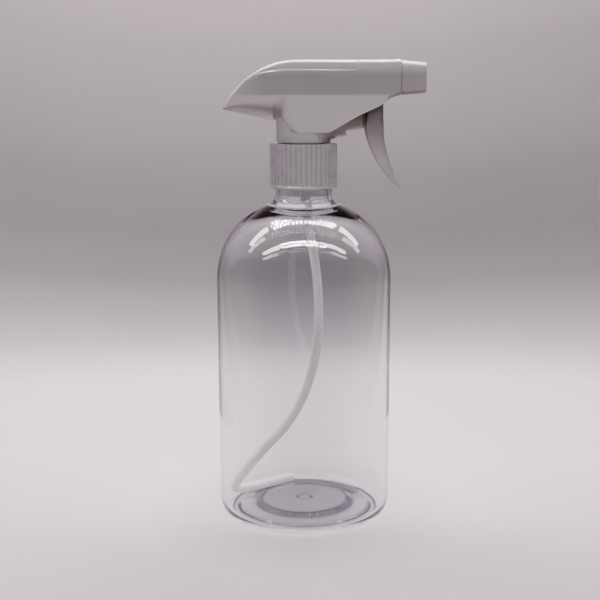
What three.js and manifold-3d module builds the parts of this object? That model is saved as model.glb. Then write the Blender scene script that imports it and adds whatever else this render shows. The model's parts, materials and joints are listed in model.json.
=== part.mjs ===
// Trigger spray bottle: a clear PET bottle with a white screw-on trigger sprayer.
// Millimetres, +Z up, +X the way it sprays. Everything is drawn about the bottle's own axis (x = y = 0,
// z = 0 on the table), and the finished group is shifted so that the whole object is centred on the origin.
import * as THREE from "three";
import { mergeVertices } from "three/addons/utils/BufferGeometryUtils.js";
import Module from "manifold-3d";

const wasm = await Module();
wasm.setup();

// ---- driving dimensions -------------------------------------------------------------------------

const GAP = 0.3; // running clearance between neighbours

// Bottle body
const BODY_R = 39;
const WALL = 0.7;
const SHOULDER_WALL = 2; // blown walls are thicker towards the neck
const SHOULDER_R = 36; // radius of the domed shoulder
const SHOULDER_Z = 108.2; // where the straight wall ends
const SHOULDER_END_R = 15;
const HEEL_Z = 7; // height of the rounded heel
const RING_R = 34.8; // outer edge of the flat standing ring
const RING_WIDTH = 1.2;
const PUSH_UP_R = 20.2; // raised middle of the base
const PUSH_UP_Z = 3.2;
const PIP_R = 3.7; // moulding mark in the middle of the base
const BASE_WALL = 1.1;

// Neck finish, a 28 mm 410 thread
const NECK_R = 12.5;
const NECK_FILLET_R = 3.75;
const NECK_BORE_R = 10.6;
const NECK_TOP_Z = 163.6;
const PITCH = 4.2333; // 6 threads to the inch
const THREAD_START_Z = 147.8;
const THREAD_TURNS = 2.5;
const THREAD_SECTION_R = 1.05;
const THREAD_CREST_R = 13.5;

// Closure collar
const COLLAR_R = 14.9; // over the ribs
const COLLAR_ROOT_R = 14.5;
const COLLAR_FLARE_R = 15.05;
const COLLAR_BORE_R = 13.85;
const COLLAR_BOTTOM_Z = 149;
const COLLAR_TOP_Z = 168.3;
const COLLAR_WEB = 1.6;
const COLLAR_RIBS = 40;
const COLLAR_THREAD_R = 0.95;
const COLLAR_THREAD_TURNS = 1.25;

// Sprayer body
const STEM_R = 9.6;
const STEM_BOTTOM_Z = 159.4;
const FLANGE_R = 12.5;
const FLANGE_Z = 165.3;
const FLANGE_THICK = 1.1;
const COLUMN_R = 12; // round neck between the collar and the cover
const COLUMN_BOTTOM_Z = 168.7;
const COLUMN_TOP_Z = 184;
const COLUMN_FLAT_Y = 11.5; // its sides are flat inside the cover
const BARREL_Z = 196.4; // discharge barrel and nozzle axis
const BARREL_R = 4;
const BARREL_END_X = 46.6;
const RISER_R = 4;
const RISER_BORE_R = 1.3;
const VALVE_SEAT_X = 34.9;
const VALVE_BORE_R = 2.5;

// Pump cylinder and piston, on one axis that tilts up towards the front
const PUMP_MOUTH = new THREE.Vector3(18, 0, 179.4);
const PUMP_TILT = THREE.MathUtils.degToRad(6.3);
const PUMP_R = 8.7;
const PUMP_BORE_R = 7.2;
const PUMP_DEPTH = 13.7;
const PISTON_R = 5.9;
const PISTON_NOSE = 10.4; // how far the piston stands out of the cylinder
const PISTON_REAR = -7.2;
const NOSE_DOME_R = 7;

// Trigger
const PIVOT = new THREE.Vector2(31.7, 191.3); // x, z
const PIVOT_STUB_R = 1.6;
const EAR_R = 3.3;
const TRIGGER_WALL = 1.6;
const TRIGGER_TIP = new THREE.Vector2(42.5, 148.6);

// Cover
const COVER_TOP_Z = 204;
const COVER_FRONT_X = 42.3;
const COVER_WALL = 1.2;
const LEDGE_STEP = 0.8; // how far the sides step in above the ledge

// Nozzle cap
const NOZZLE_BACK_X = 42.9;
const NOZZLE_FRONT_X = 53.3;
const NOZZLE_BORE_R = 4.7;

// Dip tube
const TUBE_R = 2;
const TUBE_BORE_R = 1.3;
const TUBE_TOP_Z = 163.7;

// Half the sprayer's overhang beyond the bottle: it centres the object on the origin
const AXIS_X = -(NOZZLE_FRONT_X - BODY_R) / 2;

// ---- helpers ------------------------------------------------------------------------------------

// A closed mesh as a manifold-3d solid, facing outwards. Triangles that collapse on an axis are dropped.
function solid(geometry) {
  const source = geometry.index ? geometry.toNonIndexed() : geometry;
  const bare = new THREE.BufferGeometry();
  bare.setAttribute("position", source.getAttribute("position"));
  const merged = mergeVertices(bare, 1e-4);
  const index = merged.index.array;
  const kept = [];
  for (let i = 0; i < index.length; i += 3) {
    const [a, b, c] = [index[i], index[i + 1], index[i + 2]];
    if (a !== b && b !== c && c !== a) kept.push(a, b, c);
  }
  const build = (triangles) =>
    new wasm.Manifold(
      new wasm.Mesh({
        numProp: 3,
        vertProperties: merged.attributes.position.array,
        triVerts: new Uint32Array(triangles),
      }),
    );
  const made = build(kept);
  return made.volume() > 0 ? made : build(kept.reverse());
}

function geometryOf(manifold) {
  const mesh = manifold.getMesh();
  const geometry = new THREE.BufferGeometry();
  geometry.setAttribute("position", new THREE.BufferAttribute(mesh.vertProperties, 3));
  geometry.setIndex(new THREE.BufferAttribute(mesh.triVerts, 1));
  const flat = geometry.toNonIndexed();
  flat.computeVertexNormals();
  return flat;
}

const join = (first, ...rest) => rest.reduce((a, b) => a.add(b), first);
const cut = (first, ...rest) => rest.reduce((a, b) => a.subtract(b), first);

// Solid of revolution about +Z from [radius, height] pairs.
function revolve(profile, segments = 24) {
  const points = profile.map(([r, z]) => new THREE.Vector2(r, z));
  return solid(new THREE.LatheGeometry(points, segments).rotateX(Math.PI / 2));
}

function ring(innerR, outerR, z0, z1, segments = 32) {
  return revolve([[innerR, z0], [outerR, z0], [outerR, z1], [innerR, z1], [innerR, z0]], segments);
}

function rod(radius, z0, z1, segments = 24) {
  return revolve([[0, z0], [radius, z0], [radius, z1], [0, z1]], segments);
}

function box(x0, x1, halfY, z0, z1) {
  const geometry = new THREE.BoxGeometry(x1 - x0, 2 * halfY, z1 - z0);
  return solid(geometry.translate((x0 + x1) / 2, 0, (z0 + z1) / 2));
}

// Turns a solid made along +Z so that it runs along +X at the barrel's height, z becoming x.
const onBarrel = (made) => made.rotate([0, 90, 0]).translate([0, 0, BARREL_Z]);

// The same along the pump's tilted axis, with its zero at the cylinder's mouth.
const onPump = (made) =>
  made.rotate([0, 90 - THREE.MathUtils.radToDeg(PUMP_TILT), 0]).translate(PUMP_MOUTH.toArray());

// A side-view outline in x and z, as thick as 2 * halfY.
function sidePlate(shape, halfY) {
  const depth = 2 * halfY;
  const geometry = new THREE.ExtrudeGeometry(shape, { depth, bevelEnabled: false, curveSegments: 10 });
  return solid(geometry.rotateX(Math.PI / 2).translate(0, halfY, 0));
}

function disc(radius, sides) {
  return new THREE.Shape(
    Array.from({ length: sides }, (_, i) => {
      const angle = (2 * Math.PI * i) / sides;
      return new THREE.Vector2(radius * Math.cos(angle), radius * Math.sin(angle));
    }),
  );
}

// A right-handed helix about +Z whose radius dips by `dive` over its last stretch at both ends.
class Helix extends THREE.Curve {
  constructor(radius, startZ, pitch, turns, dive = 0, startAngle = 0) {
    super();
    Object.assign(this, { radius, startZ, pitch, turns, dive, startAngle });
  }

  getPoint(t, target = new THREE.Vector3()) {
    const angle = this.startAngle + 2 * Math.PI * this.turns * t;
    const end = Math.min(1, Math.min(t, 1 - t) * 12);
    const radius = this.radius - this.dive * (1 - end);
    const z = this.startZ + this.pitch * this.turns * t;
    return target.set(radius * Math.cos(angle), radius * Math.sin(angle), z);
  }
}

function sweep(curve, shape, steps) {
  return solid(new THREE.ExtrudeGeometry(shape, { extrudePath: curve, steps, bevelEnabled: false }));
}

// Points on an ellipse's arc, as [radius, height] pairs.
function arc(cr, cz, rr, rz, startAngle, endAngle, steps) {
  return Array.from({ length: steps + 1 }, (_, i) => {
    const angle = startAngle + ((endAngle - startAngle) * i) / steps;
    return [cr + rr * Math.cos(angle), cz + rz * Math.sin(angle)];
  });
}

// Straight-line interpolation through [x, value] pairs.
function along(table, x) {
  const after = table.findIndex(([edge]) => edge >= x);
  if (after === 0) return table[0][1];
  if (after < 0) return table.at(-1)[1];
  const [[x0, v0], [x1, v1]] = [table[after - 1], table[after]];
  return v0 + ((v1 - v0) * (x - x0)) / (x1 - x0);
}

// A closed skin over rings that have equal numbers of points.
function loft(rings) {
  const positions = [];
  const triangle = (a, b, c) => positions.push(...a.toArray(), ...b.toArray(), ...c.toArray());
  const count = rings[0].length;
  for (let s = 0; s + 1 < rings.length; s++)
    for (let i = 0; i < count; i++) {
      const j = (i + 1) % count;
      triangle(rings[s][i], rings[s][j], rings[s + 1][j]);
      triangle(rings[s][i], rings[s + 1][j], rings[s + 1][i]);
    }
  for (const [end, flip] of [[rings[0], true], [rings.at(-1), false]]) {
    const middle = end.reduce((sum, p) => sum.add(p), new THREE.Vector3()).divideScalar(count);
    for (let i = 0; i < count; i++) {
      const j = (i + 1) % count;
      if (flip) triangle(middle, end[j], end[i]);
      else triangle(middle, end[i], end[j]);
    }
  }
  const geometry = new THREE.BufferGeometry();
  geometry.setAttribute("position", new THREE.Float32BufferAttribute(positions, 3));
  return solid(geometry);
}

// ---- bottle -------------------------------------------------------------------------------------

// The bottle's half section from the middle of the base up to the lip, on its outside.
function bottleOutside() {
  const shoulderEnd = Math.acos((SHOULDER_END_R - BODY_R + SHOULDER_R) / SHOULDER_R);
  const shoulder = arc(BODY_R - SHOULDER_R, SHOULDER_Z, SHOULDER_R, SHOULDER_R, 0, shoulderEnd, 9);
  const [lastR, lastZ] = shoulder.at(-1);
  const filletR = lastR + NECK_FILLET_R * Math.cos(shoulderEnd);
  const filletZ = lastZ + NECK_FILLET_R * Math.sin(shoulderEnd);
  const fillet = arc(filletR, filletZ, NECK_FILLET_R, NECK_FILLET_R, Math.PI + shoulderEnd, Math.PI, 4);
  return [
    [0, PUSH_UP_Z - 0.3],
    [PIP_R - 1.2, PUSH_UP_Z - 0.3],
    [PIP_R, PUSH_UP_Z + 0.3],
    [PUSH_UP_R, PUSH_UP_Z],
    [PUSH_UP_R + 1.4, PUSH_UP_Z - 1.2],
    [RING_R - RING_WIDTH - 1.5, 0.8],
    [RING_R - RING_WIDTH, 0],
    ...arc(RING_R, HEEL_Z, BODY_R - RING_R, HEEL_Z, -Math.PI / 2, 0, 5),
    ...shoulder,
    ...fillet.slice(1),
    [NECK_R, NECK_TOP_Z],
  ];
}

// The same on its inside, from the lip down to the middle of the base.
function bottleInside() {
  const shoulderEnd = Math.acos((SHOULDER_END_R - BODY_R + SHOULDER_R) / SHOULDER_R);
  const shoulder = Array.from({ length: 9 }, (_, i) => {
    const share = 1 - i / 8;
    const r = SHOULDER_R - WALL - (SHOULDER_WALL - WALL) * share ** 3;
    const angle = shoulderEnd * share;
    return [BODY_R - SHOULDER_R + r * Math.cos(angle), SHOULDER_Z + r * Math.sin(angle)];
  });
  const heelR = BODY_R - WALL - RING_R + 1;
  return [
    [NECK_BORE_R, NECK_TOP_Z],
    [NECK_BORE_R, 144.6],
    [NECK_BORE_R + 0.8, 142.6],
    ...shoulder,
    ...arc(RING_R - 1, HEEL_Z, heelR, HEEL_Z - BASE_WALL, 0, -Math.PI / 2, 4),
    [PUSH_UP_R + 1.6, PUSH_UP_Z - 1.2 + BASE_WALL],
    [PUSH_UP_R, PUSH_UP_Z + BASE_WALL],
    [0, PUSH_UP_Z + BASE_WALL],
  ];
}

function makeBottle() {
  const blown = revolve([...bottleOutside(), ...bottleInside()], 36);
  const path = new Helix(
    THREAD_CREST_R - THREAD_SECTION_R, THREAD_START_Z, PITCH, THREAD_TURNS, THREAD_SECTION_R);
  return join(blown, sweep(path, disc(THREAD_SECTION_R, 6), 40));
}

// ---- closure ------------------------------------------------------------------------------------

function makeCollar() {
  const edge = new THREE.Shape(
    Array.from({ length: 2 * COLLAR_RIBS }, (_, i) => {
      const angle = (Math.PI * i) / COLLAR_RIBS;
      const radius = i % 2 ? COLLAR_ROOT_R : COLLAR_R;
      return new THREE.Vector2(radius * Math.cos(angle), radius * Math.sin(angle));
    }),
  );
  const height = COLLAR_TOP_Z - COLLAR_BOTTOM_Z;
  const ribbed = new THREE.ExtrudeGeometry(edge, { depth: height, bevelEnabled: false });
  const skirt = join(
    solid(ribbed.translate(0, 0, COLLAR_BOTTOM_Z)),
    rod(COLLAR_FLARE_R, COLLAR_BOTTOM_Z, COLLAR_BOTTOM_Z + 0.9, 36),
  );
  const hollow = cut(
    skirt,
    rod(COLLAR_BORE_R, COLLAR_BOTTOM_Z - 1, COLLAR_TOP_Z - COLLAR_WEB, 36),
    rod(STEM_R + 0.5, COLLAR_BOTTOM_Z, COLLAR_TOP_Z + 1, 24),
  );
  // Its thread runs half a pitch away from the neck's, so the two helices never touch.
  const startZ = THREAD_START_Z + 1.5 * PITCH;
  const path = new Helix(COLLAR_BORE_R - 0.1, startZ, PITCH, COLLAR_THREAD_TURNS, -0.2);
  return join(hollow, sweep(path, disc(COLLAR_THREAD_R, 6), 20));
}

const makeGasket = () =>
  ring(STEM_R + GAP, FLANGE_R, NECK_TOP_Z + GAP, FLANGE_Z - GAP, 24);

// ---- sprayer body -------------------------------------------------------------------------------

function makePumpBody() {
  const column = join(
    rod(COLUMN_R, COLUMN_BOTTOM_Z, 173, 32),
    rod(COLUMN_R, 172.9, COLUMN_TOP_Z, 32).intersect(box(-20, 20, COLUMN_FLAT_Y, 172, COLUMN_TOP_Z + 1)),
  );
  const outside = join(
    rod(STEM_R, STEM_BOTTOM_Z, COLUMN_BOTTOM_Z + 1, 24),
    rod(FLANGE_R, FLANGE_Z, FLANGE_Z + FLANGE_THICK, 24),
    column,
    rod(RISER_R, COLUMN_TOP_Z - 1, BARREL_Z + RISER_R * 0.6, 20),
    onPump(rod(PUMP_R, -18, 0, 24)),
    onBarrel(rod(BARREL_R, -RISER_R - 0.4, BARREL_END_X, 20)),
    box(1, PIVOT.x - 1, 1.1, 187.5, BARREL_Z - 2),
    box(PIVOT.x - 2.5, PIVOT.x + 2.5, 3.6, PIVOT.y - 2.4, BARREL_Z - 1.5),
    rod(PIVOT_STUB_R, -5.8, 5.8, 16).rotate([90, 0, 0]).translate([PIVOT.x, 0, PIVOT.y]),
  );
  const sealGroove = ring(BARREL_R - 0.6, BARREL_R + 1, 44, 45.6, 20);
  return cut(
    outside,
    rod(5.3, STEM_BOTTOM_Z - 1, 168.5, 24),
    rod(RISER_BORE_R, 168, BARREL_Z, 12),
    onPump(rod(PUMP_BORE_R, -PUMP_DEPTH, 1, 24)),
    rod(0.9, 0, 6, 8).rotate([0, 90, 0]).translate([0, 0, 177.5]),
    rod(0.8, STEM_BOTTOM_Z - 1, 174, 8).translate([7.5, 0, 0]),
    onBarrel(rod(1.8, 0, VALVE_SEAT_X, 16)),
    onBarrel(rod(VALVE_BORE_R, VALVE_SEAT_X, BARREL_END_X + 1, 16)),
    onBarrel(sealGroove),
  );
}

// Plug under the stem: it grips the dip tube and holds the seat of the suction valve.
function makeTubeRetainer() {
  const plug = join(rod(5, 158, 168.2, 24), rod(7.4, 157.9, 159.1, 24));
  return cut(
    plug,
    rod(TUBE_R + GAP, 157, 164, 16),
    rod(1, 163, 166, 12),
    rod(2, 165.2, 169, 16),
  );
}

const makeInletBall = () => solid(new THREE.SphereGeometry(1.6, 16, 10).translate(0, 0, 166.6));

// ---- pump ---------------------------------------------------------------------------------------

function makePiston() {
  const domeCentre = PISTON_NOSE - NOSE_DOME_R;
  const domeEdge = Math.acos(PISTON_R / NOSE_DOME_R);
  return onPump(revolve([
    [0, 3.9],
    [4.6, 3.9],
    [4.6, PISTON_REAR],
    [6.5, PISTON_REAR],
    [6.5, -6.2],
    [5.3, -6.2],
    [5.3, -2.4],
    [PISTON_R, -2.4],
    ...arc(0, domeCentre, NOSE_DOME_R, NOSE_DOME_R, domeEdge, Math.PI / 2, 5),
  ]));
}

const makePistonSeal = () =>
  onPump(revolve([
    [5.6, -5.9],
    [6.4, -5.9],
    [6.9, -5.6],
    [6.5, -4.9],
    [6.5, -3.7],
    [6.9, -3],
    [6.4, -2.7],
    [5.6, -2.7],
    [5.6, -5.9],
  ]));

const makeReturnSpring = () =>
  onPump(sweep(new Helix(3.8, -PUMP_DEPTH + 0.75, 2.55, 6.2), disc(0.45, 5), 62));

// ---- discharge ----------------------------------------------------------------------------------

const makeDischargeValve = () =>
  onBarrel(revolve([
    [0, 33.7], [1.3, 34.3], [2.1, 35.7], [2.1, 37.1], [1, 37.1], [1, 39.6], [0, 39.6],
  ], 16));

const makeDischargeSpring = () =>
  onBarrel(sweep(new Helix(1.65, 37.65, 0.9, 3.2), disc(0.2, 4), 30));

// Swirl insert pressed into the end of the barrel, behind the nozzle.
function makeOrificeInsert() {
  const body = revolve([
    [0, 41.2], [2.2, 41.2], [2.2, 46.9], [3.9, 46.9], [3.9, 48.2], [1.6, 48.2], [1.6, 49.7], [0, 49.7],
  ], 16);
  return onBarrel(cut(body, rod(0.6, 40, 50, 8)));
}

const makeNozzleSeal = () =>
  onBarrel(ring(BARREL_R - 0.3, BARREL_R + 0.4, 44.3, 45.3, 20));

// A square with rounded corners about the barrel's axis, as a ring of points at one x.
function nozzleRing(x, halfY, halfZ, corner) {
  const points = [];
  for (const [sy, sz, start] of [[1, 1, 0], [-1, 1, 1], [-1, -1, 2], [1, -1, 3]])
    for (let i = 0; i <= 3; i++) {
      const angle = (Math.PI / 2) * (start + i / 3);
      const y = sy * (halfY - corner) + corner * Math.cos(angle);
      const z = sz * (halfZ - corner) + corner * Math.sin(angle);
      points.push(new THREE.Vector3(x, y, BARREL_Z + z));
    }
  return points;
}

function makeNozzleCap() {
  const outside = loft([
    nozzleRing(NOZZLE_BACK_X, 7.3, 7.3, 2.4),
    nozzleRing(NOZZLE_BACK_X + 2.1, 7.3, 7.3, 2.4),
    nozzleRing(NOZZLE_FRONT_X - 0.8, 6.5, 6.5, 2.2),
    nozzleRing(NOZZLE_FRONT_X, 5.9, 5.9, 1.8),
  ]);
  return cut(
    outside,
    onBarrel(rod(NOZZLE_BORE_R, NOZZLE_BACK_X - 1, 50.2, 24)),
    onBarrel(rod(0.5, 50, 54, 8)),
    onBarrel(rod(3.2, NOZZLE_FRONT_X - 0.9, NOZZLE_FRONT_X + 1, 24)),
  );
}

// ---- trigger ------------------------------------------------------------------------------------

// Side outline of the finger lever, from the ear round its pivot down to the pointed tip.
function leverOutline() {
  const shape = new THREE.Shape();
  shape.moveTo(PIVOT.x + EAR_R, PIVOT.y);
  shape.lineTo(34.6, 184);
  shape.lineTo(34.9, 172);
  shape.quadraticCurveTo(35.6, 163, TRIGGER_TIP.x + 0.3, TRIGGER_TIP.y + 0.4);
  shape.lineTo(TRIGGER_TIP.x - 0.4, TRIGGER_TIP.y);
  shape.quadraticCurveTo(30.9, 158.2, 27, 173.6);
  shape.lineTo(PIVOT.x - EAR_R, PIVOT.y - 4);
  shape.absarc(PIVOT.x, PIVOT.y, EAR_R, Math.PI, 0, true);
  return shape;
}

// Front outline in y and z: wide where the fingers pull, narrower at the ears and at the tip.
function leverFront(narrower) {
  const shape = new THREE.Shape();
  const edge = [[5.2, 147], [6.6, 152], [7.8, 162], [7.8, 177], [5.7, 184], [5.7, 196]];
  edge.forEach(([y, z], i) => (i ? shape.lineTo(y - narrower, z) : shape.moveTo(y - narrower, z)));
  [...edge].reverse().forEach(([y, z]) => shape.lineTo(narrower - y, z));
  const geometry = new THREE.ExtrudeGeometry(shape, { depth: 60, bevelEnabled: false });
  return solid(geometry.rotateX(Math.PI / 2).rotateZ(Math.PI / 2));
}

function makeTrigger() {
  const blank = sidePlate(leverOutline(), 12).intersect(leverFront(0));
  // A channel opens the back of the lever and leaves its front wall and two side flanges.
  const channel = sidePlate(leverOutline(), 12).intersect(leverFront(TRIGGER_WALL));
  const lever = cut(
    blank,
    channel.translate([-TRIGGER_WALL - 0.2, 0, 0]),
    box(PIVOT.x - 6, PIVOT.x + 6, 4, 186.5, 196),
    rod(PIVOT_STUB_R + GAP, -9, 9, 16).rotate([90, 0, 0]).translate([PIVOT.x, 0, PIVOT.y]),
  );
  const pushPlate = box(28.8, 30.3, 6.6, 175, 183);
  return join(lever, pushPlate.intersect(leverFront(0.4)));
}

// ---- cover --------------------------------------------------------------------------------------

const TAIL_CURVE = new THREE.CubicBezierCurve(
  new THREE.Vector2(-35.3, 184.2),
  new THREE.Vector2(-29.2, 194.3),
  new THREE.Vector2(-18.4, COVER_TOP_Z),
  new THREE.Vector2(-3, COVER_TOP_Z),
);
const HALF_WIDTH = [
  [-35.3, 2.6], [-33, 5.2], [-28, 8], [-20, 10.6], [-12, 12.6], [-5, 13.1],
  [8, 13.1], [16, 11.7], [24, 9.9], [32, 8.3], [38, 7.6], [COVER_FRONT_X, 7.4],
];
// The keel of the tail, then the edge that drops over the neck and climbs to the nozzle.
const TAIL_END_X = -13;
const LOWER_EDGE = [
  [-35.3, 183], [TAIL_END_X, 178.2], [-12.6, 180.9], [-9.7, 180.2], [-7.2, 177.2], [-4.8, 175],
  [-3.1, 173.6], [10.8, 173.3], [17.8, 177], [24.4, 180.6], [32.8, 184.4], [38, 187.6],
  [COVER_FRONT_X, 188.9],
];
const LEDGE = [[-22.5, 198], [-17, 199], [-10, 200], [-4, 200.15], [22.7, 199.95], [24.2, 203]];
// Where the cover's cross-sections stand, from the end of the tail to the nozzle.
const SHELL_STATIONS = [
  TAIL_END_X, -12.6, -9.7, -7.2, -4.8, -3.1, 3, 8, 10.8, 14, 17.8, 20.5, 22.7, 24.2, 24.3,
  28, 32.8, 36, 38, COVER_FRONT_X,
];
const COVER_FLOOR_X = 37.5; // the nozzle end has a floor from here
const COVER_FLOOR_Z = 190.2;

// One cross-section of the cover at x, shrunk by inset, with its lower edge at bottom.
function coverRing(x, top, inset, bottom) {
  const half = along(HALF_WIDTH, x) - inset;
  const crown = top - inset;
  const ledged = x > LEDGE[0][0] && x <= LEDGE.at(-1)[0];
  const ledge = ledged
    ? Math.min(along(LEDGE, x) - 0.3 * inset, crown - 0.5)
    : crown - 0.45 * (crown - bottom);
  const step = ledged ? LEDGE_STEP : 0.02;
  const corner = Math.min(3.2, 0.8 * (crown - ledge), 0.6 * half);
  // The tail's underside is round like a hull; further forward the sides only turn in a little.
  const inTail = x <= TAIL_END_X;
  const tuck = inTail ? 0.5 * half : inset ? 0 : 0.4;
  const side = [
    [half - tuck, bottom],
    [half, bottom + (inTail ? 0.3 : 0.2) * (ledge - bottom)],
    [half, ledge],
    [half - step, ledge + 0.05],
  ];
  for (let i = 0; i <= 4; i++) {
    const angle = (Math.PI / 8) * i;
    side.push([half - step - corner * (1 - Math.cos(angle)), crown - corner * (1 - Math.sin(angle))]);
  }
  const left = [...side].reverse().map(([y, z]) => [-y, z]);
  return [...side, ...left].map(([y, z]) => new THREE.Vector3(x, y, z));
}

function makeShroud() {
  const top = TAIL_CURVE.getPoints(40).map((p) => [p.x, p.y]);
  const tail = top.filter(([x], i) => i % 3 === 0 && x < TAIL_END_X - 0.5).map(([x]) => x);
  const stations = [...tail, ...SHELL_STATIONS].map((x) => [x, along(top, x)]);
  const outside = loft(stations.map(([x, z]) => coverRing(x, z, 0, along(LOWER_EDGE, x))));
  // The hollow is open below over the neck and pump, and closed under the tail and the nozzle end.
  const hollowStations = stations.filter(([x]) => x > -32 && x < COVER_FLOOR_X);
  hollowStations.push([COVER_FLOOR_X, COVER_TOP_Z]);
  const bottomAt = (x) => along(LOWER_EDGE, x) + (x <= TAIL_END_X ? COVER_WALL : -6);
  const open = loft(hollowStations.map(([x, z]) => coverRing(x, z, COVER_WALL, bottomAt(x))));
  const front = loft([COVER_FLOOR_X - 1, COVER_FRONT_X + 2].map((x) =>
    coverRing(x, COVER_TOP_Z, COVER_WALL, COVER_FLOOR_Z)));
  return cut(outside, open, front);
}

// ---- dip tube -----------------------------------------------------------------------------------

// The tube keeps the curl that it was coiled with: it bows forwards, leans back to the wall, and its
// last stretch lies across the floor.
const TUBE_ROUTE = [
  [0, 0, TUBE_TOP_Z], [0, 0, 156], [1.2, 0, 142], [3.4, -0.5, 126.5], [5.6, -1.5, 111],
  [6.6, -3, 95], [6.1, -5, 80], [3.2, -7, 65.5], [-1.6, -8, 52.5], [-9, -8.2, 40.5],
  [-17.6, -7.6, 31], [-26, -5, 20.4], [-31, -1, 12.6], [-32.6, 3.2, 7.6], [-30.4, 7.6, 5.8],
  [-25, 11, 5.4], [-15.5, 18, 5.4], [-6.2, 24.6, 5.4],
];

function makeDipTube() {
  const route = new THREE.CatmullRomCurve3(TUBE_ROUTE.map((p) => new THREE.Vector3(...p)));
  const section = disc(TUBE_R, 8);
  section.holes.push(disc(TUBE_BORE_R, 8));
  return sweep(route, section, 40);
}

// ---- assembly -----------------------------------------------------------------------------------

const plastic = (color, roughness) => () =>
  new THREE.MeshStandardMaterial({ color, roughness, metalness: 0 });
const whitePlastic = plastic(0xe9e6e6, 0.4);
const naturalPlastic = plastic(0xe4e4de, 0.5);
const clearPlastic = () =>
  new THREE.MeshStandardMaterial({
    color: 0xdfe8ea, roughness: 0.05, metalness: 0, transparent: true, opacity: 0.35 });
const milkyPlastic = () =>
  new THREE.MeshStandardMaterial({
    color: 0xf2f2f0, roughness: 0.35, metalness: 0, transparent: true, opacity: 0.7 });
const steel = () => new THREE.MeshStandardMaterial({ color: 0xb9bcc0, roughness: 0.25, metalness: 1 });

const PIECES = [
  ["bottle", makeBottle, clearPlastic],
  ["closure_collar", makeCollar, whitePlastic],
  ["neck_gasket", makeGasket, naturalPlastic],
  ["pump_body", makePumpBody, whitePlastic],
  ["shroud", makeShroud, whitePlastic],
  ["trigger", makeTrigger, whitePlastic],
  ["piston", makePiston, naturalPlastic],
  ["piston_seal", makePistonSeal, naturalPlastic],
  ["return_spring", makeReturnSpring, steel],
  ["tube_retainer", makeTubeRetainer, naturalPlastic],
  ["inlet_ball", makeInletBall, steel],
  ["dip_tube", makeDipTube, milkyPlastic],
  ["discharge_valve", makeDischargeValve, naturalPlastic],
  ["discharge_spring", makeDischargeSpring, steel],
  ["orifice_insert", makeOrificeInsert, naturalPlastic],
  ["nozzle_seal", makeNozzleSeal, naturalPlastic],
  ["nozzle_cap", makeNozzleCap, whitePlastic],
];

const sprayBottle = new THREE.Group();
sprayBottle.position.x = AXIS_X;
for (const [name, make, material] of PIECES) {
  const mesh = new THREE.Mesh(geometryOf(make()), material());
  mesh.name = name;
  sprayBottle.add(mesh);
}

export default sprayBottle;
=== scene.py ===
# Trigger spray bottle: a clear PET bottle under a white polypropylene trigger sprayer.
# Shapes are drawn in millimetres about the bottle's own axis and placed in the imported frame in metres.
import json
import math

import bmesh
import bpy
from mathutils import Matrix, Vector


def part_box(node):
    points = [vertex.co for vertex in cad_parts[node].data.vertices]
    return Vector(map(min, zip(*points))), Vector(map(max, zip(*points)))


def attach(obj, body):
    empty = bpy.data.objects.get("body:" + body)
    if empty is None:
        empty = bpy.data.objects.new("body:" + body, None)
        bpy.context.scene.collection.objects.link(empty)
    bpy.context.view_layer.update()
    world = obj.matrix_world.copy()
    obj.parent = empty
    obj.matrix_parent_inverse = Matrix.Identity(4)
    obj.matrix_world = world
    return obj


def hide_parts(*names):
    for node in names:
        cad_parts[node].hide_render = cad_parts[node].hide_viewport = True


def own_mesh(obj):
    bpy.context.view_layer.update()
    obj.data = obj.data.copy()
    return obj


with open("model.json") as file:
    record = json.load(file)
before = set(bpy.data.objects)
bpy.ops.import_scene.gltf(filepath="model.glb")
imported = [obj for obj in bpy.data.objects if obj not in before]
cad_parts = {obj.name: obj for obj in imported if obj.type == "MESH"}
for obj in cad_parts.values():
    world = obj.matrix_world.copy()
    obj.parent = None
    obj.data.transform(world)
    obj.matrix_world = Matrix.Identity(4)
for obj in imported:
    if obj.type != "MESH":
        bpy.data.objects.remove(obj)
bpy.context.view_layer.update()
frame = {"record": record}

MM = 0.001
TAU = 2 * math.pi

# ---- driving dimensions, in millimetres ---------------------------------------------------------

bottle_low, bottle_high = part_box("bottle")
AXIS_X = (bottle_low.x + bottle_high.x) / 2  # metres
BODY_R = (bottle_high.x - bottle_low.x) / 2 / MM
NECK_TOP_Z = bottle_high.z / MM

# Bottle
WALL = 0.7
SHOULDER_WALL = 3.4  # blown walls are thicker towards the neck
SHOULDER_R = 36.0
SHOULDER_Z = 108.2
SHOULDER_END_R = 15.0
HEEL_Z = 7.0
RING_R = 34.8
RING_WIDTH = 1.2
PUSH_UP_R = 20.2
PUSH_UP_Z = 3.2
PIP_R = 3.7
BASE_WALL = 1.1
NECK_R = 12.5
NECK_FILLET_R = 3.75
NECK_BORE_R = 10.6
PITCH = 4.2333
THREAD_START_Z = 147.8
THREAD_TURNS = 2.5
THREAD_HALF_WIDTH = 1.15
THREAD_DEPTH = 1.0

# Closure
COLLAR_R = 14.9
COLLAR_ROOT_R = 14.5
COLLAR_FLARE_R = 15.05
COLLAR_BORE_R = 13.85
COLLAR_BOTTOM_Z = 149.0
COLLAR_TOP_Z = 168.3
COLLAR_WEB = 1.6
COLLAR_RIBS = 40
COLLAR_THREAD_TURNS = 1.25

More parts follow.
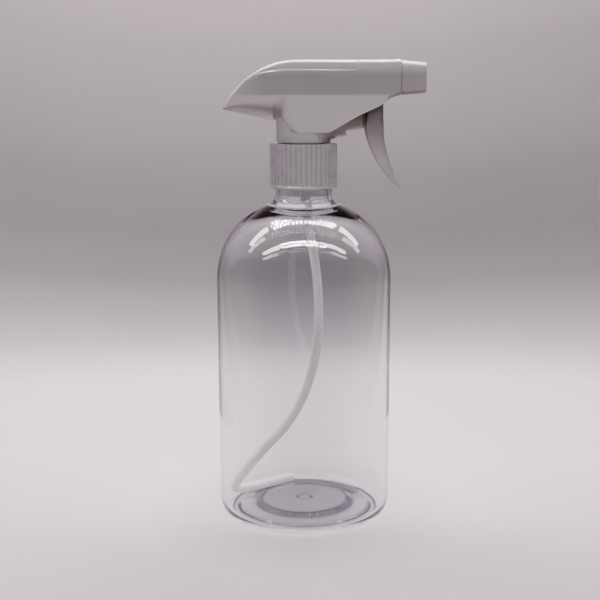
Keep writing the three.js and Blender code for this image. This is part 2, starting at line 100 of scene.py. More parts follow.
# Sprayer body
STEM_R = 9.6
STEM_BOTTOM_Z = 159.4
STEM_BORE_R = 5.3
STEM_BORE_TOP_Z = 168.5
VENT_R = 0.8
VENT_X = 7.5
FLANGE_R = 12.5
FLANGE_Z = 165.3
FLANGE_THICK = 1.1
COLUMN_R = 12.0
COLUMN_BOTTOM_Z = 168.7
COLUMN_TOP_Z = 184.0
COLUMN_FLAT_Y = 10.4
COLUMN_FLAT_Z = 173.4
BARREL_Z = 196.4
BARREL_R = 4.0
BARREL_END_X = 46.6
SEAL_GROOVE = (44.0, 45.6)
RISER_R = 4.0
RISER_BORE_R = 1.3
VALVE_SEAT_X = 34.9
VALVE_BORE_R = 2.5

# Pump cylinder and piston, on one axis that tilts up towards the front
PUMP_MOUTH = Vector((18, 0, 179.4))
PUMP_TILT = math.radians(6.3)
PUMP_R = 8.7
PUMP_BORE_R = 7.2
PUMP_DEPTH = 13.7
INLET_PORT_R = 0.9
INLET_PORT_Z = 177.5
PISTON_R = 5.9
PISTON_NOSE = 10.4
PISTON_REAR = -7.2
NOSE_DOME_R = 7.0

# Trigger
PIVOT_X = 31.7
PIVOT_Z = 191.3
PIVOT_STUB_R = 1.6
EAR_R = 3.3
EAR_INSIDE_Y = 4.0
TRIGGER_WALL = 1.6
TRIGGER_TIP_Z = 148.6

# Cover
COVER_TOP_Z = 204.0
COVER_FRONT_X = 42.3
COVER_WALL = 1.2
LEDGE_STEP = 0.8

# Nozzle
NOZZLE_BACK_X = 42.5
NOZZLE_FRONT_X = 53.3
NOZZLE_BORE_R = 4.7

# Dip tube: where it runs, from its socket down to its cut end on the floor of the bottle
TUBE_R = 2.0
TUBE_BORE_R = 1.3
TUBE_ROUTE = [
    (0, 0, 163.7), (0, 0, 156), (1.2, 0, 142), (3.4, -0.5, 126.5), (5.6, -1.5, 111),
    (6.6, -3, 95), (6.1, -5, 80), (3.2, -7, 65.5), (-1.6, -8, 52.5), (-9, -8.2, 40.5),
    (-17.6, -7.6, 31), (-26, -5, 20.4), (-31, -1, 12.6), (-32.6, 3.2, 7.6), (-30.4, 7.6, 5.8),
    (-25, 11, 5.4), (-15.5, 18, 5.4), (-6.2, 24.6, 5.4),
]


# ---- small helpers ------------------------------------------------------------------------------

def clamp(value, low=0.0, high=1.0):
    return max(low, min(high, value))


def smooth(low, high, value):
    """0 below low, 1 above high, and a soft step between them."""
    t = clamp((value - low) / (high - low))
    return t * t * (3 - 2 * t)


def mix(a, b, share):
    return a + (b - a) * share


def along(table, x):
    """A smooth curve through (x, value) pairs, level beyond its ends."""
    if x <= table[0][0]:
        return table[0][1]
    if x >= table[-1][0]:
        return table[-1][1]
    i = next(k for k in range(len(table) - 1) if table[k + 1][0] >= x)

    def slope(k):
        if k in (0, len(table) - 1):
            return 0 if k else (table[1][1] - table[0][1]) / (table[1][0] - table[0][0])
        left = (table[k][1] - table[k - 1][1]) / (table[k][0] - table[k - 1][0])
        right = (table[k + 1][1] - table[k][1]) / (table[k + 1][0] - table[k][0])
        return 0 if left * right <= 0 else 2 * left * right / (left + right)

    (x0, v0), (x1, v1) = table[i], table[i + 1]
    width = x1 - x0
    t = (x - x0) / width
    rise = (2 * t**3 - 3 * t**2 + 1) * v0 + (3 * t**2 - 2 * t**3) * v1
    return rise + width * ((t**3 - 2 * t**2 + t) * slope(i) + (t**3 - t**2) * slope(i + 1))


def line(table, x):
    """Straight-line interpolation through (x, value) pairs."""
    for (x0, v0), (x1, v1) in zip(table, table[1:]):
        if x <= x1:
            return mix(v0, v1, clamp((x - x0) / (x1 - x0)))
    return table[-1][1]


def arc(cu, cv, ru, rv, start, end, steps):
    """Points on an ellipse's arc."""
    angles = [mix(start, end, k / steps) for k in range(steps + 1)]
    return [(cu + ru * math.cos(a), cv + rv * math.sin(a)) for a in angles]


def rounded(corners, closed=False, steps=5):
    """An outline through corners (u, v, radius), each rounded by an arc of its radius."""
    outline = []
    count = len(corners)
    for i, (u, v, radius) in enumerate(corners):
        here = Vector((u, v))
        if radius == 0 or (not closed and i in (0, count - 1)):
            outline.append((u, v))
            continue
        before = Vector(corners[i - 1][:2]) - here
        after = Vector(corners[(i + 1) % count][:2]) - here
        half = before.angle(after) / 2
        reach = min(radius / math.tan(half), 0.49 * before.length, 0.49 * after.length)
        middle = (before.normalized() + after.normalized()).normalized()
        centre = here + middle * (reach / math.cos(half))
        first = here + before.normalized() * reach - centre
        last = here + after.normalized() * reach - centre
        for k in range(steps + 1):
            spoke = first.slerp(last, k / steps).normalized()
            outline.append(tuple(centre + spoke * first.length))
    return outline


def lathe(outline, segments=128, shape=None):
    """A solid of revolution about Z. The outline of (radius, height) closes on itself or on the axis."""
    points, rows, faces = [], [], []
    for r, z in outline:
        start = len(points)
        if r < 1e-6:
            points.append(Vector((0, 0, z)))
            rows.append([start])
            continue
        for i in range(segments):
            angle = TAU * i / segments
            radius, height = shape(r, z, angle) if shape else (r, z)
            points.append(Vector((radius * math.cos(angle), radius * math.sin(angle), height)))
        rows.append(list(range(start, start + segments)))
    if outline[0][0] > 1e-6:
        rows.append(rows[0])
    for a, b in zip(rows, rows[1:]):
        for i in range(segments):
            j = (i + 1) % segments
            corners = (a[i % len(a)], a[j % len(a)], b[j % len(b)], b[i % len(b)])
            faces.append(tuple(dict.fromkeys(corners)))
    return points, faces


def loft(rings, ends="cap"):
    """A skin over rings with equal numbers of points, whose ends are capped or joined to each other."""
    count = len(rings[0])
    points = [Vector(p) for ring in rings for p in ring]
    faces = []
    last = len(rings) - (0 if ends == "join" else 1)
    for s in range(last):
        a, b = s * count, ((s + 1) % len(rings)) * count
        for i in range(count):
            j = (i + 1) % count
            faces.append((a + i, a + j, b + j, b + i))
    if ends == "cap":
        faces.append(tuple(reversed(range(count))))
        faces.append(tuple(range((len(rings) - 1) * count, len(rings) * count)))
    return points, faces


def tube(path, radius, sides, bore=0.0):
    """A round bar along a path, or a pipe if it has a bore."""
    frames = []
    side = None
    for k, here in enumerate(path):
        ahead = (path[min(k + 1, len(path) - 1)] - path[max(k - 1, 0)]).normalized()
        side = side or ahead.orthogonal()
        side = (side - ahead * side.dot(ahead)).normalized()
        frames.append((here, side, ahead.cross(side)))

    def ring(frame_at, r):
        here, u, v = frame_at
        turns = [TAU * i / sides for i in range(sides)]
        return [here + u * (r * math.cos(a)) + v * (r * math.sin(a)) for a in turns]

    outer = [ring(f, radius) for f in frames]
    if not bore:
        return loft(outer)
    edge = min(0.15, (radius - bore) / 3)
    inner = [ring(f, bore) for f in reversed(frames)]
    lip_end = [ring(frames[-1], radius - edge)]
    lip_start = [ring(frames[0], radius - edge)]
    return loft(outer + lip_end + inner + lip_start, ends="join")


def curve_through(points, steps):
    """A centripetal Catmull-Rom curve through points."""
    points = [Vector(p) for p in points]
    points = [2 * points[0] - points[1], *points, 2 * points[-1] - points[-2]]
    path = []
    for k in range(len(points) - 3):
        four = points[k:k + 4]
        knots = [0.0]
        for a, b in zip(four, four[1:]):
            knots.append(knots[-1] + (b - a).length ** 0.5)
        last_span = k == len(points) - 4
        for step in range(steps + (1 if last_span else 0)):
            t = mix(knots[1], knots[2], step / steps)
            level = four
            for spans in (((0, 1), (1, 2), (2, 3)), ((0, 2), (1, 3)), ((1, 2),)):
                pairs = zip(zip(level, level[1:]), spans)
                level = [a.lerp(b, (t - knots[i]) / (knots[j] - knots[i])) for (a, b), (i, j) in pairs]
            path.append(level[0])
    return path


def helix(radius, start, pitch, turns, steps_per_turn=24):
    """A right-handed helix about Z."""
    count = round(turns * steps_per_turn)
    path = []
    for k in range(count + 1):
        turn = turns * k / count
        angle = TAU * turn
        path.append(Vector((radius * math.cos(angle), radius * math.sin(angle), start + pitch * turn)))
    return path


def moved(made, matrix):
    points, faces = made
    return [matrix @ Vector(p) for p in points], faces


# Solids made along +Z are laid along the barrel or the pump's tilted axis, their z running forwards,
# or across the sprayer at the lever's pivot.
ON_BARREL = Matrix.Translation((0, 0, BARREL_Z)) @ Matrix.Rotation(math.pi / 2, 4, "Y")
ON_PUMP = Matrix.Translation(PUMP_MOUTH) @ Matrix.Rotation(math.pi / 2 - PUMP_TILT, 4, "Y")
ON_PIVOT = Matrix.Translation((PIVOT_X, 0, PIVOT_Z)) @ Matrix.Rotation(math.pi / 2, 4, "X")


def bar(radius, low, high, soft=0.2, segments=64):
    """A round bar about Z with softened edges."""
    corners = [(0, low, 0), (radius, low, soft), (radius, high, soft), (0, high, 0)]
    return lathe(rounded(corners), segments)


def block(low, high, soft=0.3):
    """A box between two corners, with softened edges."""
    made = bmesh.new()
    bmesh.ops.create_cube(made, size=1)
    size = Vector(high) - Vector(low)
    centre = (Vector(high) + Vector(low)) / 2
    for vertex in made.verts:
        vertex.co = Vector(a * b for a, b in zip(vertex.co, size)) + centre
    if soft:
        bmesh.ops.bevel(made, geom=made.edges[:], offset=soft, segments=3, profile=0.5, affect="EDGES")
    points = [vertex.co.copy() for vertex in made.verts]
    faces = [tuple(vertex.index for vertex in face.verts) for face in made.faces]
    made.free()
    return points, faces


def prism(outline, half_y):
    """A side-view outline of (x, z) points, as thick as 2 * half_y."""
    return loft([[(x, y, z) for x, z in outline] for y in (-half_y, half_y)])


# ---- pieces -------------------------------------------------------------------------------------

record = frame["record"]
BODY_OF = {node: body for body, nodes in record["behaviour"]["bodies"].items() for node in nodes}


def place(point):
    """From millimetres about the bottle's axis to metres in the frame."""
    return Vector((point[0] * MM + AXIS_X, point[1] * MM, point[2] * MM))


def new_object(name, made, merge=0.0):
    points, faces = made
    mesh = bpy.data.meshes.new(name)
    mesh.from_pydata([place(p) for p in points], [], faces)
    shell = bmesh.new()
    shell.from_mesh(mesh)
    if merge:
        bmesh.ops.remove_doubles(shell, verts=shell.verts, dist=merge * MM)
    bmesh.ops.recalc_face_normals(shell, faces=shell.faces)
    shell.to_mesh(mesh)
    shell.free()
    made_object = bpy.data.objects.new(name, mesh)
    bpy.context.scene.collection.objects.link(made_object)
    return made_object


def finish_piece(made_object, node, material, crease=32):
    """Smooth shading with crisp edges, a material, and the CAD node that the piece stands for."""
    mesh = made_object.data
    mesh.polygons.foreach_set("use_smooth", [True] * len(mesh.polygons))
    mesh.set_sharp_from_angle(angle=math.radians(crease))
    mesh.materials.clear()
    mesh.materials.append(material)
    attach(made_object, BODY_OF[node])
    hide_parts(node)
    return made_object


def piece(node, made, material, crease=32, merge=0.0):
    return finish_piece(new_object(node + "_skin", made, merge), node, material, crease)


def turned(node, corners, material, matrix=None, segments=64, closed=True, steps=5):
    """A piece with one rounded outline, turned about Z and then laid along the matrix's axis."""
    made = lathe(rounded(corners, closed, steps), segments)
    return piece(node, moved(made, matrix) if matrix else made, material)


def carved(name, base, add=(), cut=(), keep=()):
    """One solid from overlapping solids: base with others added, cut away or kept in common."""
    result = new_object(name, base)
    for operation, others in (("UNION", add), ("DIFFERENCE", cut), ("INTERSECT", keep)):
        for other in others:
            tool = new_object("tool", other)
            step = result.modifiers.new("carve", "BOOLEAN")
            step.operation = operation
            step.solver = "MANIFOLD"
            step.object = tool
            evaluated = result.evaluated_get(bpy.context.evaluated_depsgraph_get())
            mesh = bpy.data.meshes.new_from_object(evaluated)
            result.modifiers.clear()
            result.data = mesh
            bpy.data.objects.remove(tool)
    result.data.name = name
    return result


# ---- materials ----------------------------------------------------------------------------------

def new_material(name, **sockets):
    made = bpy.data.materials.new(name)
    made.use_nodes = True
    shader = made.node_tree.nodes["Principled BSDF"]
    for socket, value in sockets.items():
        shader.inputs[socket.replace("_", " ")].default_value = value
    return made, shader


def node_in(tree, kind, properties=None, **inputs):
    made = tree.nodes.new(kind)
    for key, value in (properties or {}).items():
        setattr(made, key, value)
    for key, value in inputs.items():
        made.inputs[key.replace("_", " ")].default_value = value
    return made


class Field:
    """A number that varies over a surface. Arithmetic on it adds Math nodes to its material."""

    def __init__(self, tree, socket):
        self.tree = tree
        self.socket = socket

    def drive(self, socket):
        self.tree.links.new(self.socket, socket)

    def __add__(self, other):
        return math_node("ADD", self, other)

    def __sub__(self, other):
        return math_node("SUBTRACT", self, other)

    def __rsub__(self, other):
        return math_node("SUBTRACT", other, self)

    def __mul__(self, other):
        return math_node("MULTIPLY", self, other)

    def ramp(self, low, high, start, end, kind="LINEAR"):
        """From start at low to end at high, and level beyond them."""
        made = node_in(self.tree, "ShaderNodeMapRange", {"interpolation_type": kind},
                       From_Min=low, From_Max=high, To_Min=start, To_Max=end)
        self.drive(made.inputs["Value"])
        return Field(self.tree, made.outputs["Result"])

    def gate(self, low, high):
        """0 below low, 1 above high, and a soft step between them."""
        return self.ramp(low, high, 0.0, 1.0, "SMOOTHSTEP")

    def spread(self, low, high):
        """Noise, which stays near a half, stretched to run from low to high."""
        return self.ramp(0.35, 0.65, low, high)


def math_node(operation, *values):
    """A Math node on Fields and numbers."""
    tree = next(value.tree for value in values if isinstance(value, Field))
    made = node_in(tree, "ShaderNodeMath", {"operation": operation})
    for slot, value in zip(made.inputs, values):
        if isinstance(value, Field):
            value.drive(slot)
        else:
            slot.default_value = value
    return Field(tree, made.outputs[0])


def grain(tree, scale, detail=3.0, stretch=(1, 1, 1)):
    """Noise in the piece's own coordinates, scale in cycles per metre."""
    place_in = node_in(tree, "ShaderNodeTexCoord")
    mapping = node_in(tree, "ShaderNodeMapping", Scale=stretch)
    noise = node_in(tree, "ShaderNodeTexNoise", Scale=scale, Detail=detail, Roughness=0.55)
    tree.links.new(place_in.outputs["Object"], mapping.inputs["Vector"])
    tree.links.new(mapping.outputs["Vector"], noise.inputs["Vector"])
    return Field(tree, noise.outputs["Fac"])


def axes_of(tree):
    """x, y and z in the piece's own coordinates, which are the frame's."""
    coordinates = node_in(tree, "ShaderNodeTexCoord")
    axes = node_in(tree, "ShaderNodeSeparateXYZ")
    tree.links.new(coordinates.outputs["Object"], axes.inputs[0])
    return [Field(tree, axis) for axis in axes.outputs]


def radius_of(tree):
    """How far a point is from the bottle's axis."""
    x, y, _ = axes_of(tree)
    out = x - AXIS_X
    return math_node("SQRT", out * out + y * y)


def tint(shader, source, first, second):
    """Two near colours that drift over the surface."""
    tree = source.tree
    colours = node_in(tree, "ShaderNodeMix", {"data_type": "RGBA"})
    colours.inputs[6].default_value = (*first, 1)
    colours.inputs[7].default_value = (*second, 1)
    source.spread(0, 1).drive(colours.inputs[0])
    tree.links.new(colours.outputs[2], shader.inputs["Base Color"])


def shade_by(material, share, colour):
    """Multiplies the base colour by another colour where share is 1."""
    tree = material.node_tree
    base = tree.nodes["Principled BSDF"].inputs["Base Color"]
    shading = node_in(tree, "ShaderNodeMix", {"data_type": "RGBA", "blend_type": "MULTIPLY"})
    shading.inputs[7].default_value = (*colour, 1)
    tree.links.new(base.links[0].from_socket, shading.inputs[6])
    share.drive(shading.inputs[0])
    tree.links.new(shading.outputs[2], base)


def roughen(shader, coarse, fine, height_mm):
    """Slow and fine ripples of the surface, height_mm from hollow to crest."""
    tree = coarse.tree
    bump = node_in(tree, "ShaderNodeBump", Strength=1.0, Distance=height_mm * MM)
    math_node("MULTIPLY_ADD", fine, 0.25, coarse).drive(bump.inputs["Height"])
    tree.links.new(bump.outputs["Normal"], shader.inputs["Normal"])


def moulded_plastic(name, first, second, roughness, glow):
    """Satin moulded plastic that lets a little light in."""
    made, shader = new_material(
        name, Subsurface_Weight=glow, Subsurface_Radius=(1.0, 0.94, 0.86),
        Subsurface_Scale=2.5 * MM, IOR=1.49)
    tree = made.node_tree
    tint(shader, grain(tree, 55), first, second)
    grain(tree, 240, detail=5).spread(*roughness).drive(shader.inputs["Roughness"])
    roughen(shader, grain(tree, 90), grain(tree, 2600, detail=2), 0.035)
    return made


def seen_through(made, shader, share):
    """Lets light pass to what stands behind, where Cycles would trace a black shadow."""
    tree = made.node_tree
    output = tree.nodes["Material Output"]
    path = node_in(tree, "ShaderNodeLightPath")
    clear_way = node_in(tree, "ShaderNodeBsdfTransparent", Color=(share, share, share, 1))
    either = node_in(tree, "ShaderNodeMixShader")
    tree.links.new(path.outputs["Is Shadow Ray"], either.inputs["Fac"])
    tree.links.new(shader.outputs["BSDF"], either.inputs[1])
    tree.links.new(clear_way.outputs["BSDF"], either.inputs[2])
    tree.links.new(either.outputs["Shader"], output.inputs["Surface"])


def clear_pet():
    """Blown PET: clear, glossy, with the slow ripples of a blown wall."""
    made, shader = new_material("clear_pet", Transmission_Weight=1.0, IOR=1.57)
    tree = made.node_tree
    tint(shader, grain(tree, 30), (0.905, 0.915, 0.92), (0.92, 0.925, 0.93))
    grain(tree, 160, detail=5).spread(0.0, 0.012).drive(shader.inputs["Roughness"])
    drawn = grain(tree, 38, detail=1.5, stretch=(1, 1, 0.35))
    roughen(shader, drawn, grain(tree, 150, detail=1, stretch=(1, 1, 0.5)), 0.06)
    # Painted shade: walls seen edge on are darkened, less so on the shoulder, and those seen square on a
    # little, standing in for the dark surroundings they show.
    facing = Field(tree, node_in(tree, "ShaderNodeLayerWeight", Blend=0.5).outputs["Facing"])
    z = axes_of(tree)[2]
    on_shoulder = z.gate(0.118, 0.134)
    shade_by(made, facing.gate(0.70, 0.95) * (1.0 - on_shoulder * 0.62), (0.20, 0.22, 0.25))
    shade_by(made, 1.0 - facing.gate(0.02, 0.30), (0.88, 0.885, 0.89))
    # Painted shade on the base too, for the shadow under the bottle: its thick ring most, then its
    # middle, then the rest of its floor.
    in_base = 1.0 - z.gate(7 * MM, 9 * MM)
    radius = radius_of(tree)
    off_ring = math_node("ABSOLUTE", radius - (PUSH_UP_R + 0.8) * MM)
    shade_by(made, (1.0 - off_ring.gate(0.8 * MM, 3.6 * MM)) * in_base, (0.24, 0.28, 0.31))
    shade_by(made, (1.0 - radius.gate(32 * MM, 36 * MM)) * in_base, (0.60, 0.62, 0.635))
    shade_by(made, (1.0 - radius.gate(17 * MM, 21 * MM)) * in_base, (0.68, 0.70, 0.71))
    depth = node_in(tree, "ShaderNodeVolumeAbsorption", Color=(0.45, 0.60, 0.66, 1), Density=11.0)
    tree.links.new(depth.outputs["Volume"], tree.nodes["Material Output"].inputs["Volume"])
    seen_through(made, shader, 0.97)
    return made


def milky_polyethylene():
    """The dip tube: thin polyethylene that scatters the light that it lets through."""
    made, shader = new_material("milky_polyethylene", Transmission_Weight=0.55, IOR=1.25)
    tree = made.node_tree
    tint(shader, grain(tree, 70), (0.76, 0.745, 0.75), (0.71, 0.695, 0.70))
    grain(tree, 120, detail=2).spread(0.36, 0.44).drive(shader.inputs["Roughness"])
    roughen(shader, grain(tree, 60), grain(tree, 200), 0.01)
    seen_through(made, shader, 0.8)
    return made


def spring_steel():
    """Bright drawn wire with fine marks along it."""
    made, shader = new_material("spring_steel", Metallic=1.0)
    tree = made.node_tree
    tint(shader, grain(tree, 900), (0.66, 0.67, 0.69), (0.55, 0.56, 0.58))
    grain(tree, 2400).spread(0.18, 0.34).drive(shader.inputs["Roughness"])
    roughen(shader, grain(tree, 1200), grain(tree, 6000), 0.01)
    return made


def shaded_below(made):
    """Brownish where the surface faces down, away from the lamps."""
    tree = made.node_tree
    normal = node_in(tree, "ShaderNodeSeparateXYZ")
    tree.links.new(node_in(tree, "ShaderNodeNewGeometry").outputs["Normal"], normal.inputs[0])
    down = Field(tree, normal.outputs[2]) * -1.0
    shade_by(made, down.gate(0.15, 0.6), (0.29, 0.285, 0.275))
    return made


def cover_plastic():
    """Thin-walled: painted shade darkens it along the sides, where the barrel stands behind the wall,
    and painted brownish shade underneath.
    """
    made = moulded_plastic(
        "cover_polypropylene", (0.88, 0.87, 0.87), (0.85, 0.84, 0.84), (0.17, 0.27), 0.2)
    x, _, z = axes_of(made.node_tree)
    ahead = x.gate(AXIS_X - 40 * MM, AXIS_X - 14 * MM)
    # Painted shade beside the barrel, fading out towards the tail and above the ledge.
    painted_barrel_shade = z.gate(0.1888, 0.1898) - z.gate(0.1975, 0.2015)
    shade_by(made, ahead * painted_barrel_shade, (0.62, 0.62, 0.62))
    return shaded_below(made)


def body_plastic():
    """Painted darker than the cover, and with a painted brownish shade on the pump's front end under the
    cover.
    """
    made = moulded_plastic(
        "body_polypropylene", (0.77, 0.76, 0.765), (0.74, 0.73, 0.735), (0.17, 0.27), 0.2)
    x, _, z = axes_of(made.node_tree)
    ahead = x.gate(AXIS_X + 8 * MM, AXIS_X + 13 * MM)
    shade_by(made, ahead * z.gate(0.166, 0.170), (0.32, 0.285, 0.24))
    return made


def lever_plastic():
    """Painted darker than the cover, with painted shade towards its top under the cover and painted
    brownish shade underneath.
    """
    made = moulded_plastic(
        "lever_polypropylene", (0.57, 0.56, 0.57), (0.54, 0.53, 0.54), (0.36, 0.46), 0.1)
    z = axes_of(made.node_tree)[2]
    shade_by(made, z.gate(0.158, 0.182), (0.26, 0.24, 0.225))
    return shaded_below(made)


def collar_plastic():
    """Painted darker than the cover, with painted shade in the grooves between the ribs."""
    made = moulded_plastic(
        "collar_polypropylene", (0.655, 0.65, 0.655), (0.625, 0.62, 0.625), (0.24, 0.32), 0.02)
    tree = made.node_tree
    x, y, z = axes_of(tree)
    # Painted shade in the grooves between the ribs.
    angle = math_node("ARCTAN2", y, x - AXIS_X)
    groove = 1.0 - math_node("COSINE", angle * COLLAR_RIBS).gate(-0.9, 0.1)
    above_rim = z.gate((COLLAR_BOTTOM_Z + 1) * MM, (COLLAR_BOTTOM_Z + 1.6) * MM)
    outside = radius_of(tree).gate(14.0 * MM, 14.3 * MM)
    shade_by(made, groove * above_rim * outside, (0.80, 0.79, 0.80))
    return made


cover_white_painted_shade = cover_plastic()
body_white_painted_shade = body_plastic()
lever_white_painted_shade = lever_plastic()
ribbed_white_painted_shade = collar_plastic()
natural = moulded_plastic(
    "natural_polyethylene", (0.80, 0.79, 0.75), (0.74, 0.73, 0.69), (0.38, 0.5), 0.4)
# The piston: natural polyethylene painted dark brown for the shade it stands in under the cover.
piston_painted_shade = moulded_plastic(
    "piston_polyethylene_painted_shade", (0.22, 0.20, 0.17), (0.19, 0.17, 0.145), (0.38, 0.5), 0.2)
clear = clear_pet()
milky = milky_polyethylene()
steel = spring_steel()


# ---- bottle -------------------------------------------------------------------------------------

def shoulder_end(radius):
    return math.acos((SHOULDER_END_R - BODY_R + SHOULDER_R) / radius)


def bottle_outside():
    """Half section of the outside, from the middle of the base up to the lip."""
    end = shoulder_end(SHOULDER_R)
    shoulder = arc(BODY_R - SHOULDER_R, SHOULDER_Z, SHOULDER_R, SHOULDER_R, 0, end, 56)
    last_r, last_z = shoulder[-1]
    fillet_r = last_r + NECK_FILLET_R * math.cos(end)
    fillet_z = last_z + NECK_FILLET_R * math.sin(end)
    fillet = arc(fillet_r, fillet_z, NECK_FILLET_R, NECK_FILLET_R, math.pi + end, math.pi, 12)
    base = rounded([
        (0, PUSH_UP_Z - 0.5, 0),
        (PIP_R - 1.4, PUSH_UP_Z - 0.45, 0.6),
        (PIP_R - 0.6, PUSH_UP_Z + 0.5, 0.4),
        (PIP_R + 0.4, PUSH_UP_Z + 0.1, 0.6),
        (PUSH_UP_R - 0.6, PUSH_UP_Z + 0.15, 0.8),
        (PUSH_UP_R + 1.2, PUSH_UP_Z - 1.3, 0.9),
        (RING_R - RING_WIDTH - 1.5, 0.8, 1.2),
        (RING_R - RING_WIDTH, 0, 0.5),
        (RING_R - 0.1, 0, 0),
    ])
    heel = arc(RING_R, HEEL_Z, BODY_R - RING_R, HEEL_Z, -math.pi / 2, 0, 20)
    wall = [(BODY_R, mix(HEEL_Z, SHOULDER_Z, k / 12)) for k in range(1, 12)]
    first_z = fillet[-1][1]
    rows = round((NECK_TOP_Z - 0.5 - first_z) / 0.14)
    neck = [(NECK_R, mix(first_z, NECK_TOP_Z - 0.5, k / rows)) for k in range(1, rows + 1)]
    return base + heel + wall + shoulder + fillet[1:] + neck


def bottle_inside():
    """The same on its inside, from the lip down to the middle of the base."""
    end = shoulder_end(SHOULDER_R)
    centre_r = BODY_R - SHOULDER_R
    shoulder = []
    for k in range(49):
        share = 1 - k / 48
        r = SHOULDER_R - WALL - (SHOULDER_WALL - WALL) * share**2
        shoulder.append((centre_r + r * math.cos(end * share), SHOULDER_Z + r * math.sin(end * share)))
    heel_r = BODY_R - WALL - RING_R + 1
    neck = rounded([
        (NECK_BORE_R + 0.2, NECK_TOP_Z, 0),
        (NECK_BORE_R, NECK_TOP_Z - 0.6, 0.4),
        (NECK_BORE_R, 144.4, 2.5),
        shoulder[0] + (3.0,),
        shoulder[4] + (0,),
    ])
    floor = rounded([
        (RING_R - 1, BASE_WALL, 0),
        (31.4, BASE_WALL + 0.1, 1.2),
        (29.3, BASE_WALL + 1.6, 1.2),
        (PUSH_UP_R + 2.4, PUSH_UP_Z - 1.5 + BASE_WALL, 2.0),
        (PUSH_UP_R - 0.2, PUSH_UP_Z + BASE_WALL, 1.2),
        (PIP_R, PUSH_UP_Z + BASE_WALL, 0),
        (0, PUSH_UP_Z + BASE_WALL - 0.15, 0),
    ])
    heel = arc(RING_R - 1, HEEL_Z, heel_r, HEEL_Z - BASE_WALL, 0, -math.pi / 2, 16)
    wall = [(BODY_R - WALL, mix(SHOULDER_Z, HEEL_Z, k / 12)) for k in range(1, 12)]
    return neck + shoulder[5:] + wall + heel + floor[1:]


def thread_height(z, angle):
    """How far the neck's thread stands out at this height and angle."""
    height = 0.0
    for turn in range(int(THREAD_TURNS) + 1):
        along_turns = turn + angle / TAU
        if along_turns <= THREAD_TURNS:
            off = abs(z - THREAD_START_Z - PITCH * along_turns)
            ends = smooth(0, 0.12, along_turns) * smooth(0, 0.12, THREAD_TURNS - along_turns)
            flank = 1 - smooth(0.35, 1, off / THREAD_HALF_WIDTH)
            height = max(height, THREAD_DEPTH * flank * ends)
    return height


def bottle_shape(r, z, angle):
    on_neck = r == NECK_R
    return (r + thread_height(z, angle) if on_neck else r), z


def make_bottle():
    lip = rounded([
        (NECK_R, NECK_TOP_Z - 0.5, 0),
        (NECK_R, NECK_TOP_Z, 0.5),
        (NECK_BORE_R + 0.2, NECK_TOP_Z, 0),
    ])
    outline = bottle_outside() + lip[1:-1] + bottle_inside()
    piece("bottle", lathe(outline, 256, bottle_shape), clear, crease=40)


# ---- closure ------------------------------------------------------------------------------------

def collar_outline():
    corner = [
        (COLLAR_BORE_R, COLLAR_BOTTOM_Z, 0.2),
        (COLLAR_FLARE_R - 0.1, COLLAR_BOTTOM_Z, 0.25),
        (COLLAR_FLARE_R, COLLAR_BOTTOM_Z + 0.85, 0.2),
        (COLLAR_R, COLLAR_BOTTOM_Z + 1.15, 0.1),
        (COLLAR_R, COLLAR_TOP_Z, 0.7),
        (STEM_R + 0.5, COLLAR_TOP_Z, 0.3),
        (STEM_R + 0.5, COLLAR_TOP_Z - COLLAR_WEB, 0.2),
        (COLLAR_BORE_R, COLLAR_TOP_Z - COLLAR_WEB, 0.3),
    ]
    outline = rounded(corner, closed=True)
    rows = []
    for here, ahead in zip(outline, outline[1:] + outline[:1]):
        rows.append(here)
        gap = abs(ahead[1] - here[1])
        inner_wall = abs(here[0] - COLLAR_BORE_R) < 0.01
        pitch = 0.2 if inner_wall else 1.0
        steps = max(1, round(gap / pitch))
        for k in range(1, steps):
            rows.append((mix(here[0], ahead[0], k / steps), mix(here[1], ahead[1], k / steps)))
    return rows


def collar_shape(r, z, angle):
    if abs(r - COLLAR_BORE_R) < 0.01 and z < COLLAR_TOP_Z - COLLAR_WEB:
        start = THREAD_START_Z + 1.5 * PITCH
        height = 0.0
        for turn in range(2):
            along_turns = turn + angle / TAU
            if along_turns <= COLLAR_THREAD_TURNS:
                off = abs(z - start - PITCH * along_turns)
                height = max(height, 0.85 * (1 - smooth(0.3, 1, off / 1.0)))
        return r - height, z
    if r > COLLAR_ROOT_R - 0.3:
        # Round-topped ribs, with narrow grooves between them that run out at the bottom rim.
        wave = 0.5 + 0.5 * math.cos(COLLAR_RIBS * angle)
        groove = (COLLAR_R - COLLAR_ROOT_R) * (1 - wave**0.6)
        fade = smooth(COLLAR_BOTTOM_Z + 0.8, COLLAR_BOTTOM_Z + 1.5, z)
        return r - groove * fade, z
    return r, z


def make_collar():
    made = lathe(collar_outline(), COLLAR_RIBS * 10, collar_shape)
    piece("closure_collar", made, ribbed_white_painted_shade, crease=50)


def make_gasket():
    inner, outer = STEM_R + 0.3, FLANGE_R
    low, high = NECK_TOP_Z + 0.3, FLANGE_Z - 0.3
    middle = (inner + outer) / 2
    turned("neck_gasket", [
        (inner, low, 0.15), (outer, low, 0.15), (outer, high, 0.15), (middle + 0.5, high, 0.1),
        (middle, high - 0.12, 0.1), (middle - 0.5, high, 0.1), (inner, high, 0.15),
    ], natural, segments=96, steps=3)


# ---- sprayer body -------------------------------------------------------------------------------

